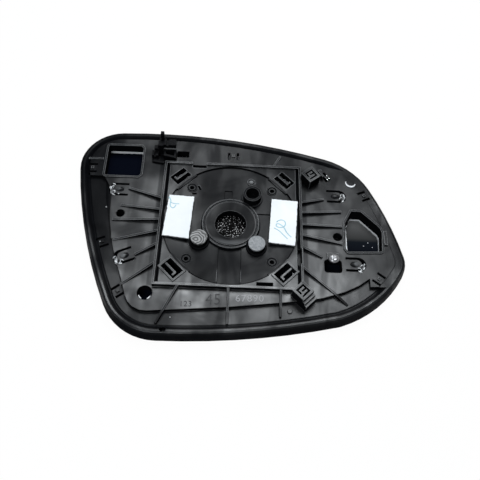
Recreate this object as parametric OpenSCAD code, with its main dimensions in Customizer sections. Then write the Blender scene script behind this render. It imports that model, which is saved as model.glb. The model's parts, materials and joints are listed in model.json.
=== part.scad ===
// Car door mirror glass, lying face down: glass, foam sheet, moulded backing plate and small fittings.
// Millimetres. The mirror face lies on Z = 0, Z points out of the back, X runs along the long side,
// and the middle of the round actuator seat is X = 0, Y = 0.

/* [Plate outline] */
// Corner round at the pointed end: x, y, radius
corner_tip = [85.0, -19.1, 15.0];
// Corner round at the upper right shoulder: x, y, radius
corner_shoulder = [44.9, 10.1, 43.3];
// Corner round at the upper left: x, y, radius
corner_top_left = [-67.8, 39.6, 25.6];
// Corner round at the lower left: x, y, radius
corner_bottom_left = [-37.3, -35.9, 32.8];
// Corner round at the lower right: x, y, radius
corner_lower_right = [57.1, -42.5, 15.0];
// Bow radius of the side from the tip to the shoulder
side_right_r = 190.6; // [170:1:260]
// Bow radius of the long top side
side_top_r = 366.3; // [280:1:600]
// Bow radius of the left side
side_left_r = 303.3; // [220:1:600]
// Bow radius of the long bottom side
side_bottom_r = 415.8; // [300:1:800]
// Bow radius of the side from the lower right to the tip
side_lower_r = 68.0; // [62:1:90]
// Largest gap between the outline's arcs and its chords
outline_gap = 0.08; // [0.05:0.01:0.3]

/* [Glass and foam sheet] */
// Thickness of the glass
glass_t = 2.2; // [1.8:0.1:3]
// Distance of the glass edge from the plate's outline
glass_inset = 2.0; // [1.7:0.1:3]
// Width of the ground edge on the glass face
glass_bevel = 0.5; // [0.2:0.1:0.8]
// Thickness of the foam sheet between glass and plate
sheet_t = 1.6; // [1:0.1:2.5]
// Distance of the foam sheet's edge from the glass edge
sheet_inset = 1.0; // [0.5:0.1:3]
// Room round each cut-out of the foam sheet
sheet_room = 1.1; // [0.5:0.1:2]

/* [Rim] */
// Height of the rim's crest above the mirror face
rim_top = 9.0; // [8:0.1:10]
// Radius of the rounded crest
crest_r = 2.1; // [1.5:0.1:2.4]
// Lean of the rim's outer wall
rim_draft = 0.6; // [0.3:0.1:1]
// Height of the lip's foot above the mirror face
lip_foot = 0.3; // [0.1:0.1:0.8]
// Rounding of the lip's foot
lip_round = 0.8; // [0.4:0.1:1.2]
// Gap between the lip and the glass edge
glass_gap = 0.2; // [0.1:0.05:0.4]
// Height of the fine seam round the rim
seam_z = 2.6; // [2.2:0.1:4]
// Depth of the fine seam
seam_d = 0.3; // [0.1:0.05:0.5]
// Distance of the groove's inner edge from the outline
groove_in = 6.8; // [6:0.1:8]
// Sink of the groove below the band
groove_sink = 0.4; // [0.1:0.1:0.8]
// Drop of the smooth shoulder below the crest, on the right where the groove is filled
shoulder_drop = 0.05; // [0.02:0.01:0.3]

/* [Plate levels] */
// Height of the low band inside the rim
band_z = 6.8; // [6.2:0.1:7.4]
// Height of the raised plateau
plateau_z = 9.2; // [8.4:0.1:10]
// Height of the window lips
window_lip_z = 9.9; // [9.4:0.1:10.6]
// Height of the corner floors inside the square frame
corner_z = 11.2; // [10.4:0.1:11.8]
// Height of the square frame's wall
frame_z = 12.4; // [11.9:0.1:13.4]
// Height of the flat middle of the actuator seat
dish_z = 9.1; // [8.4:0.1:9.6]
// Height of the actuator seat at its edge
dish_edge_z = 10.4; // [9.8:0.1:10.8]
// Thickness of the moulded floors
floor_t = 2.1; // [1.5:0.1:2.6]

/* [Square frame and seat] */
// Half of the frame's outer width
frame_half = 41.0; // [40:0.1:42]
// Thickness of the frame's wall
frame_wall = 1.35; // [1:0.05:2]
// Radius of the round actuator seat
seat_r = 39.3; // [38:0.1:39.5]
// Width of the fine groove along the seat's edge
seat_groove_w = 0.6; // [0.4:0.1:1]
// Depth of that groove
seat_groove_d = 0.6; // [0.3:0.1:1]
// Radius at which the seat turns flat
seat_flat_r = 27.0; // [25.5:0.5:32]
// Radius of the collar's outer ridge
collar_r = 16.4; // [15.5:0.1:17.5]
// Radius of the collar's inner ridge
collar_in_r = 14.6; // [13.5:0.1:15]
// Height of the collar's ridges
collar_z = 10.8; // [10:0.1:11.5]
// Radius of the bore for the actuator's ball
bore_r = 9.0; // [8:0.1:10]
// Height of the bore's upper rim
bore_top = 9.5; // [8.2:0.1:9.8]
// Wall of the tube round the bore
bore_wall = 2.0; // [1.2:0.1:3]
// Width of the groove along the inside of the frame's left and right walls
frame_groove_w = 1.9; // [0.6:0.1:2.1]
// Height of that groove's lowest line
frame_groove_z = 8.6; // [8.2:0.1:10.5]
// Wall left under the frame beside the hollow
hollow_wall = 3.5; // [2.5:0.1:5]
// Lean of the collar's outer wall
collar_lean = 0.6; // [0.3:0.1:1.2]
// Width of each of the collar's ridges
ridge_w = 0.6; // [0.4:0.1:0.7]
// Depth of the groove between the collar's ridges
ridge_d = 0.6; // [0.3:0.1:1]
// Depth of the grooves between collar and seat edge
channel_d = 0.6; // [0.3:0.1:1]

/* [Posts and bosses] */
// Middle of the left capped post
post_left = [-17.4, -12.0];
// Middle of the right capped post
post_right = [15.0, -14.5];
// Middle of the hollow post
post_hollow = [12.0, 18.0];
// Radius of the capped posts
post_r = 4.9; // [4.2:0.1:5.4]
// Radius of the foot round each post
post_foot_r = 5.5; // [5.2:0.1:6]
// Height of the capped posts without their caps
post_z = 13.2; // [12.5:0.1:14]
// Radius of the bore in the capped posts
post_bore_r = 1.7; // [1.2:0.1:2.2]
// Depth of the bore in the capped posts
post_bore_d = 4.0; // [3:0.5:6]
// Outer radius of the hollow post
hollow_r = 5.3; // [4.8:0.1:5.6]
// Bore radius of the hollow post
hollow_bore_r = 3.9; // [3.2:0.1:4.2]
// Height of the hollow post
hollow_post_z = 15.2; // [14:0.1:16.5]
// Middle of the small peg above the hollow post
peg_at = [11.4, 29.6];
// Radius of the small peg
peg_r = 2.4; // [2:0.1:3]
// Height of the small peg above the seat
peg_h = 0.9; // [0.4:0.1:1.5]
// Wall of the small peg
peg_wall = 0.5; // [0.4:0.1:0.8]
// Radius of the dome inside the small peg
peg_dome_r = 1.4; // [1:0.1:1.6]
// Height of the feet round the posts
post_foot_h = 1.0; // [0.5:0.1:2]
// Distance of the ring bosses from the middle, along X and along Y
boss_at = 23.8; // [22:0.1:25]
// Outer radius of the ring bosses
boss_r = 3.1; // [2.6:0.1:3.6]
// Bore radius of the ring bosses
boss_bore_r = 1.3; // [1:0.1:1.8]
// Height of the ring bosses above the seat's middle
boss_h = 0.9; // [0.6:0.1:1.4]
// Width of the groove in the ring bosses
boss_groove = 0.7; // [0.4:0.1:1]

/* [Hook slots] */
// Distance of the hook slots from the middle
slot_at = 43.8; // [43:0.1:44.5]
// Length of the hook slots
slot_l = 10.6; // [9.5:0.1:11.5]
// Width of the hook slots
slot_w = 7.2; // [6.5:0.1:7.6]
// Width of the seat's raised islands round the slots
island_w = 12.0; // [10:0.5:14]
// Distance of the islands' inner side from the slots' middle
island_in = 6.3; // [5:0.1:7]
// Room of the islands beside the slots' ends
island_side = 2.2; // [1.5:0.1:3]
// Thickness of the bar standing in each slot
slot_bar = 1.1; // [0.8:0.1:1.6]
// Length of the free end left beside each bar
slot_free = 2.4; // [1.5:0.1:3.5]
// Width of the raised border round the lower slots
border_w = 1.1; // [0.8:0.1:1.5]
// Height of the raised border above the corner floor
border_h = 0.7; // [0.3:0.1:1.2]

/* [Windows] */
// Width of the lip round each window
window_lip = 1.2; // [0.8:0.1:1.6]
// Rounding of the windows' corners
window_round = 0.9; // [0.4:0.1:1.2]

/* [Ribs] */
// Thickness of the ribs
rib_t = 1.2; // [0.9:0.1:1.6]
// Height of the ribs above the plateau at the frame
rib_h = 2.8; // [1.5:0.1:3]
// Height of the ribs above the plateau at their outer ends
rib_end_h = 1.2; // [0.3:0.1:1.6]
// Drop of the rib ends that stand on the low band
rib_band_drop = 2.0; // [0.5:0.1:2.4]

/* [Holes] */
// Width of the U-shaped cuts round the spring tongues
tongue_cut = 1.3; // [0.9:0.1:1.8]
// Half width of the spring tongues
tongue_half = 3.1; // [2.5:0.1:3.6]
// Extra length of the cut at the tongues' round ends
tongue_tip_gap = 1.0; // [0.4:0.1:1.6]
// Radius of the soft lug on each tongue
tongue_lug_r = 1.7; // [1:0.1:2.2]
// Middle and radius of the small hole on the left
hole_left = [-63.8, 4.3, 2.5];
// Middle and radius of the small hole on the right
hole_right = [61.5, -5.3, 2.6];
// Middle and radius of the large hole at the lower left
hole_corner = [-44.4, -44.9, 4.1];
// Middle and radius of the crescent cut at the upper right
crescent = [71.6, 32.7, 3.1];
// Width of the crescent cut
crescent_w = 1.0; // [0.6:0.1:1.5]
// Depth of the crescent cut
crescent_d = 1.2; // [0.8:0.1:2]
// Middle of the square hole
square_at = [58.0, -23.3];
// Width of the square hole
square_w = 9.8; // [9:0.1:10.5]
// Radius of the round tab over the square hole
square_tab_r = 3.2; // [2.6:0.1:3.8]
// Thickness of that tab
square_tab_t = 1.4; // [1:0.1:2]
// Corner radius of the square hole
square_round = 1.5; // [1:0.1:3]
// Length of the fine slits inside the rim
slit_l = 5.2; // [4:0.1:6]
// Width of the fine slits inside the rim
slit_w = 1.3; // [0.9:0.1:1.8]
// Distance between the two slits of a pair
slit_gap = 5.4; // [4:0.1:7]
// Width of the small bump between two slits
slit_bump = 1.7; // [1:0.1:2.4]
// Height of that bump
slit_bump_h = 0.7; // [0.4:0.1:1.2]
// Middle of the drain notch in the rim
drain_at = [-33.0, -64.9];
// Radius of the drain notch
drain_r = 1.7; // [1.2:0.1:2.2]

/* [Moulded clip towers] */
// Height of the towers above the mirror face
tower_z = 16.6; // [15:0.1:18]
// Width of the towers
tower_w = 8.2; // [7.5:0.1:9]
// Middle of the upper right tower
tower_upper = [46.5, 32.7];
// Turn of the upper right tower
tower_upper_turn = 38; // [30:1:50]
// Middle of the lower right tower
tower_lower = [39.8, -43.1];
// Turn of the lower right tower
tower_lower_turn = 45; // [38:1:52]
// Thickness of the towers' walls
tower_wall = 1.3; // [1:0.1:1.8]
// Heights of the ledges on the lower tower
ledge_z = [14.2, 12.2];
// Step of those ledges
ledge_out = 1.5; // [1:0.1:2]
// Width of the groove in each tower's top
tower_groove = 1.1; // [0.8:0.1:1.4]
// Depth of the groove in each tower's top
tower_groove_d = 4.0; // [2:0.5:6]

/* [Wire clip] */
// Gap between the wire clip's foot and the frame
clip_gap = 0.4; // [0.2:0.1:1]
// Thickness of the wire clip's foot
clip_foot_t = 1.3; // [1:0.1:2]
// Thickness of the wire clip's walls
clip_wall = 1.3; // [1:0.1:1.6]
// Height of the left block above the mirror face
clip_block_z = 13.4; // [12:0.1:14]
// Height of the cup above the mirror face
cup_z = 14.4; // [13:0.1:15]
// Height of the hood above the mirror face
hood_z = 19.0; // [18:0.1:20]
// Thickness of the hood
hood_t = 3.0; // [2:0.1:3.4]
// Height of the finger above the mirror face
finger_z = 24.0; // [21:0.1:26]
// Width of the finger
finger_w = 2.0; // [1.6:0.1:2.6]
// Radius of the peg under the foot
clip_peg_r = 1.8; // [1.4:0.1:2.2]
// Gap between the peg and its hole
peg_gap = 0.1; // [0.05:0.05:0.2]

/* [Pads, caps and foam] */
// Thickness of the white pads
pad_t = 0.8; // [0.5:0.1:1.1]
// Inset of the pad seats from the pads' edges
pad_seat_in = 0.7; // [0.3:0.1:1.5]
// Rise of the pad seats above the corner floors
pad_rise = 0.05; // [0.02:0.01:0.2]
// Gap between the pads and the frame's wall
pad_wall_gap = 0.95; // [0.5:0.05:2]
// Thickness of the post caps
cap_t = 1.1; // [0.8:0.1:1.6]
// Radius of the post caps
cap_r = 4.7; // [4.2:0.1:5]
// Gap between a cap's stem and the post's bore
cap_gap = 0.05; // [0.02:0.01:0.1]
// Thickness of the foam disc under the bore
foam_t = 2.2; // [1.8:0.1:2.4]
// Radius of the foam disc under the bore
foam_r = 11.6; // [11.1:0.1:13]
// Thickness of the metal tab's sheet
tab_t = 0.5; // [0.4:0.05:0.8]
// Length of the metal tab
tab_l = 3.0; // [2:0.1:5]
// Width of the metal tab
tab_w = 2.0; // [1.6:0.1:2.8]
// Height of the metal tab above the mirror face
tab_z = 10.2; // [9.8:0.1:12.5]

/* [Hidden] */
$fn = 48;

// How far cutting shapes run past the faces they cut
past = 1;
// Turn between the points of a rounded corner
fillet_step = 22.5;
plate_under = glass_t + sheet_t;
crest_in = rim_draft + crest_r;
frame_in = frame_half - frame_wall;
foam_top = glass_t + foam_t;
top_z = finger_z + past;
pad_z = corner_z + pad_rise;
hollow_half = frame_half - hollow_wall;
hollow_z = dish_z - floor_t;
clip_x = -frame_half - clip_gap;
clip_y = frame_half + clip_gap;

corners = [corner_tip, corner_shoulder, corner_top_left, corner_bottom_left, corner_lower_right];
sides = [side_right_r, side_top_r, side_left_r, side_bottom_r, side_lower_r];
corner_n = len(corners);

function flat(c) = [c.x, c.y];
function heading(v) = atan2(v.y, v.x);
function turn(a, b) = (b - a + 720) % 360;

// Middle of the side arc of radius r that runs tangent round the corner circles a and b
function side_centre(a, b, r) = let (
    gap = flat(b) - flat(a),
    d = norm(gap),
    u = gap / d,
    along = (pow(r - a.z, 2) - pow(r - b.z, 2) + d * d) / (2 * d),
    off = sqrt(pow(r - a.z, 2) - along * along)
) flat(a) + along * u + off * [-u.y, u.x];

centres = [for (i = [0 : corner_n - 1]) side_centre(corners[i], corners[(i + 1) % corner_n], sides[i])];

// Stations along one arc: middle x, middle y, radius, angle
function stations_of(c, r, a0, a1) = let (
    span = turn(a0, a1),
    n = max(1, ceil(span / (2 * acos(1 - outline_gap / r))))
) [for (k = [0 : n - 1]) [c.x, c.y, r, a0 + span * k / n]];

stations = [for (i = [0 : corner_n - 1]) let (
    here = corners[i],
    before = centres[(i + corner_n - 1) % corner_n],
    after = centres[i],
    start = heading(flat(here) - before),
    end = heading(flat(here) - after),
    next = heading(flat(corners[(i + 1) % corner_n]) - after)
) each concat(stations_of(here, here.z, start, end), stations_of(after, sides[i], end, next))];

function edge_point(s, inward) = [s[0] + (s[2] - inward) * cos(s[3]), s[1] + (s[2] - inward) * sin(s[3])];
function edge_loop(inward) = [for (s = stations) edge_point(s, inward)];

// Points of a loop [x, y, radius] with each corner rounded by its own radius
function rounded(loop) = let (n = len(loop)) [for (i = [0 : n - 1]) let (
    p = flat(loop[i]),
    r = loop[i][2],
    a = flat(loop[(i + n - 1) % n]) - p,
    b = flat(loop[(i + 1) % n]) - p,
    u = a / norm(a),
    v = b / norm(b),
    half = acos(u * v) / 2,
    mid = p + (u + v) / norm(u + v) * r / sin(half),
    s = heading(p + u * r / tan(half) - mid),
    sweep = turn(s, heading(p + v * r / tan(half) - mid)),
    span = sweep > 180 ? sweep - 360 : sweep,
    steps = max(1, ceil(abs(span) / fillet_step))
) each (r == 0 ? [p] :
    [for (k = [0 : steps]) mid + r * [cos(s + span * k / steps), sin(s + span * k / steps)]])];

// The same loop with every side moved outward by d; a radius grows by r_more
function grown(loop, d, r_more) = let (n = len(loop)) [for (i = [0 : n - 1]) let (
    p = flat(loop[i]),
    a = flat(loop[(i + n - 1) % n]) - p,
    b = flat(loop[(i + 1) % n]) - p,
    u = a / norm(a),
    v = b / norm(b),
    q = p - (u + v) / norm(u + v) * d / sin(acos(u * v) / 2)
) [q.x, q.y, loop[i][2] + r_more]];

// Solid lofted round the plate's outline from a profile of [inward, z], bottom cap first
module loft(profile) {
    n = len(stations);
    m = len(profile);
    skin = [for (j = [0 : m - 2]) for (i = [0 : n - 1])
        [j * n + i, (j + 1) * n + i, (j + 1) * n + (i + 1) % n, j * n + (i + 1) % n]];
    polyhedron(
        [for (p = profile) for (s = stations) let (q = edge_point(s, p[0])) [q.x, q.y, p[1]]],
        concat([[for (i = [0 : n - 1]) i]], skin, [[for (i = [n - 1 : -1 : 0]) (m - 1) * n + i]]));
}

// Solid between two loops with the same number of points
module between(low, z0, high, z1) {
    n = len(low);
    skin = [for (i = [0 : n - 1]) each [[i, n + i, n + (i + 1) % n], [i, n + (i + 1) % n, (i + 1) % n]]];
    polyhedron(
        concat([for (p = low) [p.x, p.y, z0]], [for (p = high) [p.x, p.y, z1]]),
        concat([[for (i = [0 : n - 1]) i]], skin, [[for (i = [n - 1 : -1 : 0]) n + i]]));
}

module slab(loop, z0, z1) {
    translate([0, 0, z0]) linear_extrude(z1 - z0) polygon(loop);
}

module disc(c, r, z0, z1) {
    translate([c.x, c.y, z0]) cylinder(r = r, h = z1 - z0);
}

module ring(c, r_out, r_in, z0, z1) {
    difference() {
        disc(c, r_out, z0, z1);
        disc(c, r_in, z0 - past, z1 + past);
    }
}

module block(c, size, angle, z0, z1) {
    translate([c.x, c.y, z0]) rotate(angle) translate([-size.x / 2, -size.y / 2, 0])
        cube([size.x, size.y, z1 - z0]);
}

// Raised part of the plate inside the rim: x, y, corner radius
plateau_loop = [
    [-110, 30.1, 0], [-76.8, 30.1, 1], [-71.0, 20.0, 8], [-69.5, 0.0, 40], [-64.9, -19.1, 40],
    [-57.4, -39.0, 20], [-51.8, -56.0, 12], [0, -51.3, 60], [48, -45.0, 40], [68.5, -38.0, 30],
    [77.9, -31.0, 0], [77.9, -36.0, 0], [110, -35.0, 0], [110, 90, 0], [-110, 90, 0]];
// Part of the rim where the plateau runs on to the crest as a shoulder; its upper side tapers the groove
shoulder = [[40, 48.5], [110, 32.0], [110, -60], [40, -60]];
// Top and foot of the slope on the left, which narrows downward
slope_top = [[-71.6, 29.8], [-66.9, -12.6], [-64, -13], [-64, 29.8]];
slope_foot = [[-77.4, 29.8], [-66.6, -13.0], [-64, -13], [-64, 29.8]];

// Opening of the left window: x, y, corner radius
window_left = [
    [-76.7, 30.4, window_round], [-56.6, 30.6, window_round], [-55.3, 32.2, window_round],
    [-55.5, 51.4, window_round], [-56.9, 53.2, window_round], [-76.9, 52.9, window_round]];
// The same opening in the foam sheet, wider everywhere but at its upper edge
sheet_left = [[-78.0, 29.2], [-54.0, 29.2], [-54.2, 53.1], [-56.9, 53.1], [-78.0, 52.8]];

// Opening of the right window at its lip and at the foam sheet
window_right = [
    [67.0, -14.9, window_round], [86.2, -13.9, window_round], [87.2, -1.5, window_round],
    [86.2, 1.8, window_round], [76.0, 12.2, window_round], [70.4, 12.2, window_round],
    [66.2, 4.0, window_round], [65.7, -12.8, window_round]];
window_right_low = [
    [68.1, -14.6], [86.0, -13.6], [86.8, -1.9], [85.8, 0.4], [76.2, 10.4], [70.6, 10.4],
    [67.8, 4.4], [67.0, -12.6]];
// Bar that stands against the right window's outer side: middle and size
window_bar_at = [88.9, -5.2];
window_bar = [2.0, 9.0];

// Spring tongues: x and y of the round end's middle, length of the slits, direction of the slits
tongues = [[-67.2, 20.9, 6.0, 0], [62.6, 22.6, 6.0, 180], [-58.8, -23.6, 6.0, 25], [71.2, -22.6, 6.0, 180]];

// Ribs from the frame's left and right walls: y at the wall, x and y at the outer end, drop of that end
ribs_left = [
    [14.8, -60.9, 21.5, 0], [6.8, -64.1, 9.6, 0.4], [0.0, -67.9, -0.4, 0.4],
    [-7.4, -65.4, -13.5, 0.8], [-16.0, -52.2, -22.5, 0], [-27.8, -57.4, -40.4, 0.8]];
ribs_right = [
    [15.8, 54.5, 19.7, 0], [8.8, 64.4, 11.4, 0], [0.8, 64.4, 1.2, 0],
    [-6.2, 64.0, -10.1, 0], [-13.8, 52.1, -19.1, 0], [-26.8, 58.6, -41.3, 0.6]];
// Tip of the last right rib, which runs down to the low band: x, y
rib_tip = [65.1, -46.6];
// Ribs from the frame's lower wall to the low band: x at the wall, x and y at the outer end
ribs_low = [[-27.3, -37.2, -61.4], [0.2, 0.3, -60.6], [28.6, 28.5, -55.2]];
// Short low rib above the frame: x and y at both ends
rib_top = [25.2, 43.2, 29.0, 50.2];

// Hollows under the plateau beside the frame
hollow_near = frame_half + hollow_wall;
hollow_left = [[-60.8, 26], [-59.6, -8], [-53, -31], [-hollow_near, -31], [-hollow_near, 26]];
hollow_right = [
    [hollow_near, -31], [51.6, -31], [51.6, -16], [58.3, -16], [58.3, 26], [hollow_near, 26]];
hollow_top = [[-28, hollow_near], [34, hollow_near], [26, 52], [-28, 57]];

// Openings beside the frame's walls: turn of the wall, place along it, length, depth, shift outward,
// height of the floor
wall_cuts = [
    [90, 20.1, 8.4, 3.4, frame_wall, band_z], [-90, 19.8, 9.2, 2.8, 0, band_z],
    [0, -20.0, 10.0, 2.4, frame_wall / 2, band_z]];
// Marks beside the upper left ring boss: middle, size, turn
boss_marks = [[4.4, 0.4, 1.3, 3.0, 28], [1.6, -3.9, 2.6, 1.1, 10]];
// Grooves between the collar and the seat's edge: middle x and y, width, length
channels = [[0.1, -27.0, 12.8, 22.8], [19.0, 0.4, 9.0, 15.0], [-2.0, 19.0, 4.4, 8.0]];

// Pairs of fine slits inside the rim: x, y, direction of the slits, turn of the pair, 0 on the low band
slit_pairs = [
    [-84.4, 35.6, 2, 90, 1], [-71.9, -13.8, 24, 120, 0], [-59.2, -43.6, 38, 125, 0], [0.0, 49.0, 90, 0, 1],
    [78.8, 23.8, 27, 120, 1], [83.0, -31.0, -36, 55, 1]];

// White pads: outer side from the frame's wall, inner side in its own place
pad_out = frame_in - pad_wall_gap;
pad_left_loop = [[-pad_out + 0.5, -10.6], [-23.2, -12.1], [-21.9, 16.1], [-pad_out + 2.3, 16.8]];
pad_right_loop = [[21.7, -12.3], [pad_out - 2.0, -13.8], [pad_out, 16.1], [23.5, 16.9]];

// Slot beside the upper right tower: middle, size, direction
upper_slot_at = [56.3, 36.4];
upper_slot = [3.4, 6.4];
upper_slot_turn = 33;
// Small block between that slot and the tower: middle, size, height above the mirror face
upper_block_at = [53.6, 37.2];
upper_block = [2.2, 5.2];
upper_block_z = 12.4;
// Ridge on the upper left platform: middle and length
ridge_at = [-83.2, 42.4];
ridge_l = 9.0;
// Peg on the low band: middle and radius
band_peg = [33.6, -51.4, 1.3];
// Square slot beside the wire clip: middle and size
cable_slot_at = [clip_x + 10.4, clip_y + 7.4];
cable_slot = [7.2, 4.6];

rim_profile = concat(
    [[glass_inset - glass_gap, plate_under], [glass_inset - glass_gap, lip_foot], [lip_round, lip_foot],
        [lip_round * (1 - sin(45)), lip_foot + lip_round * (1 - cos(45))], [0, lip_foot + lip_round],
        [0, seam_z - seam_d], [seam_d, seam_z], [seam_d / 4, seam_z + seam_d]],
    [for (a = [180 : -30 : 30]) [crest_in + crest_r * cos(a), rim_top - crest_r + crest_r * sin(a)]],
    [[groove_in - 1.4, band_z - groove_sink + 0.5], [groove_in - 0.8, band_z - groove_sink],
        [groove_in, band_z]]);

module frame_shape(grow, z0, z1) {
    block([0, 0], 2 * [frame_half + grow, frame_half + grow], 0, z0, z1);
}

module plateau() {
    intersection() {
        union() {
            slab(edge_loop(groove_in), plate_under, plateau_z);
            intersection() {
                slab(edge_loop(crest_in), plate_under, rim_top - shoulder_drop);
                slab(shoulder, plate_under - past, rim_top);
            }
        }
        slab(rounded(plateau_loop), plate_under - past, plateau_z + past);
    }
    between(slope_foot, band_z - past, slope_top, plateau_z);
}

// Rib from a to b with its top falling from z0 to z1
module rib(a, b, z0, z1) {
    run = b - a;
    translate([a.x, a.y, 0]) rotate(heading(run)) translate([0, rib_t / 2, 0]) rotate([90, 0, 0])
        linear_extrude(rib_t) polygon([[-frame_wall / 2, band_z - past], [norm(run), band_z - past],
            [norm(run), z1], [-frame_wall / 2, z0]]);
}

module ribs() {
    high = plateau_z + rib_h;
    end = plateau_z + rib_end_h;
    for (r = ribs_left)
        rib([-frame_half, r[0]], [r[1], r[2]], high, end - r[3]);
    for (r = ribs_right)
        rib([frame_half, r[0]], [r[1], r[2]], high, end - r[3]);
    last = ribs_right[5];
    rib([last[1], last[2]], rib_tip, end - last[3], band_z + rib_end_h / 3);
    for (r = ribs_low)
        rib([r[0], -frame_half], [r[1], r[2]], high, end - rib_band_drop);
    low = plateau_z + rib_end_h / 2;
    rib([rib_top[0], rib_top[1]], [rib_top[2], rib_top[3]], low, low);
}

module window_wall(loop) {
    slab(rounded(grown(loop, window_lip, window_lip)), plate_under, window_lip_z);
}

module tongue_shape(t, cut) {
    translate([t[0], t[1], 0]) rotate(t[3]) {
        if (cut)
            difference() {
                union() {
                    translate([-tongue_tip_gap, 0, plate_under - past])
                        cylinder(r = tongue_half + tongue_cut, h = top_z);
                    translate([-tongue_tip_gap, -tongue_half - tongue_cut, plate_under - past])
                        cube([t[2] + tongue_tip_gap, 2 * (tongue_half + tongue_cut), top_z]);
                }
                cylinder(r = tongue_half, h = 2 * top_z);
                translate([0, -tongue_half, 0]) cube([t[2] + past, 2 * tongue_half, 2 * top_z]);
            }
        else
            translate([tongue_half / 3, 0, plateau_z]) scale([1.5, 1, 0.6]) sphere(r = tongue_lug_r);
    }
}

// Border, and bar on one side of the slot's free end
module hook_slot(angle, bar_end, bordered) {
    rotate(angle) translate([slot_at, 0, 0]) {
        if (bordered)
            difference() {
                block([0, 0], [slot_w + 2 * border_w, slot_l + 2 * border_w], 0, dish_z, corner_z + border_h);
                block([0, 0], [slot_w, slot_l], 0, dish_z - past, corner_z + border_h + past);
            }
        block([0, bar_end * slot_free / 2], [slot_bar, slot_l - slot_free + past / 2], 0,
            hollow_z, corner_z - slot_bar / 4);
        // Hook at the bar's free end
        block([slot_bar, -bar_end * (slot_l / 2 - slot_free)], [2 * slot_bar, slot_bar], 0,
            hollow_z, corner_z - slot_bar / 4);
    }
}

// Tower with a U-shaped groove round a middle tongue
module tower(at, angle) {
    inner = tower_w - 2 * tower_wall;
    translate([at.x, at.y, 0]) rotate(angle) difference() {
        block([0, 0], [tower_w, tower_w], 0, band_z - past, tower_z);
        difference() {
            block([0, 0], [inner, inner], 0, tower_z - tower_groove_d, tower_z + past);
            block([0, 0], [inner - 2 * tower_groove, inner - 2 * tower_groove], 0, 0, tower_z + 2 * past);
            // Web that leaves the groove open on one side only
            block([-inner / 2, -inner / 4], [inner / 2, tower_groove], 0, 0, tower_z + 2 * past);
        }
        block([tower_groove / 2, 0], [inner / 2, tower_groove], 0, tower_z - tower_groove_d, tower_z + past);
    }
}

// Tab with a round, domed end that reaches over the square hole from its upper edge
module square_hook() {
    translate([square_at.x, square_at.y + square_w / 2, plateau_z - square_tab_t / 2]) {
        disc([0, -square_tab_r / 2], square_tab_r, 0, square_tab_t);
        block([0, 0], [2 * square_tab_r, square_tab_r + square_tab_t], 0, 0, square_tab_t);
        translate([0, -square_tab_r / 2, square_tab_t]) intersection() {
            scale([1, 1, 0.5]) sphere(r = square_tab_r * 0.8);
            cylinder(r = square_tab_r, h = square_tab_r);
        }
    }
}

module plate_body() {
    loft(rim_profile);
    plateau();
    frame_shape(0, plate_under, frame_z);
    window_wall(window_left);
    window_wall(window_right);
    block(window_bar_at, window_bar, 0, band_z, window_lip_z + 0.5);
    ribs();
}

// Everything that is cut away before the small parts are set on the plate
module plate_hollows() {
    frame_shape(-frame_wall, corner_z, frame_z + past);
    difference() {
        rotate_extrude() polygon([[0, dish_z], [seat_flat_r, dish_z], [seat_r - seat_groove_w, dish_edge_z],
            [seat_r - seat_groove_w, dish_edge_z - seat_groove_d], [seat_r, dish_edge_z - seat_groove_d],
            [seat_r, frame_z + past], [0, frame_z + past]]);
        for (angle = [45, 135])
            rotate(angle) for (side = [-1, 1])
                block([side * (slot_at + island_w / 2 - island_in), 0],
                    [island_w, slot_l + 2 * island_side], 0,
                    plate_under, corner_z);
    }
    for (side = [-1, 1])
        translate([0, frame_in, 0]) rotate([90, 0, 0]) linear_extrude(2 * frame_in)
            polygon([[side * frame_in, frame_groove_z], [side * frame_in, frame_z + past],
                [side * (frame_in - frame_groove_w), frame_z + past],
                [side * (frame_in - frame_groove_w), corner_z]]);
    block([0, 0], 2 * [hollow_half, hollow_half], 0, plate_under - past, hollow_z);
    for (loop = [hollow_left, hollow_right, hollow_top])
        slab(loop, plate_under - past, hollow_z);
    for (angle = [45, 135, 225, 315])
        rotate(angle) block([slot_at, 0], [slot_w, slot_l], 0, plate_under, frame_z + past);
    for (w = wall_cuts)
        rotate(w[0]) block([frame_in + w[4] - w[3] / 2, w[1]], [w[3], w[2]], 0, w[5], frame_z + past);
    for (c = channels)
        block([c[0], c[1]], [c[2], c[3]], 0, dish_z - channel_d, dish_edge_z + past);
}

module collar() {
    rotate_extrude() polygon([[bore_r - past, foam_top], [bore_r + bore_wall, foam_top],
        [bore_r + bore_wall, hollow_z], [collar_r + collar_lean, hollow_z],
        [collar_r + collar_lean, dish_z], [collar_r, collar_z], [collar_r - ridge_w, collar_z],
        [(collar_r - ridge_w + collar_in_r) / 2, collar_z - ridge_d], [collar_in_r, collar_z],
        [collar_in_r - ridge_w, collar_z], [bore_r - past, bore_top]]);
}

module seat_parts() {
    collar();
    for (p = [post_left, post_right]) {
        disc(p, post_r, hollow_z, post_z);
        disc(p, post_foot_r, hollow_z, dish_z + post_foot_h);
    }
    disc(post_hollow, hollow_r, hollow_z, hollow_post_z);
    disc(post_hollow, hollow_r + post_foot_r - post_r, hollow_z, dish_z + post_foot_h);
    disc(peg_at, peg_r, hollow_z, dish_z + peg_h);
    for (x = [-boss_at, boss_at])
        for (y = [-boss_at, boss_at])
            disc([x, y], boss_r, hollow_z, dish_z + boss_h);
    for (loop = [pad_left_loop, pad_right_loop])
        slab([for (p = grown([for (q = loop) [q.x, q.y, 0]], -pad_seat_in, 0)) flat(p)], hollow_z, pad_z);
    hook_slot(135, -1, false);
    hook_slot(45, 1, false);
    hook_slot(225, -1, true);
    hook_slot(315, 1, true);
}

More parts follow.
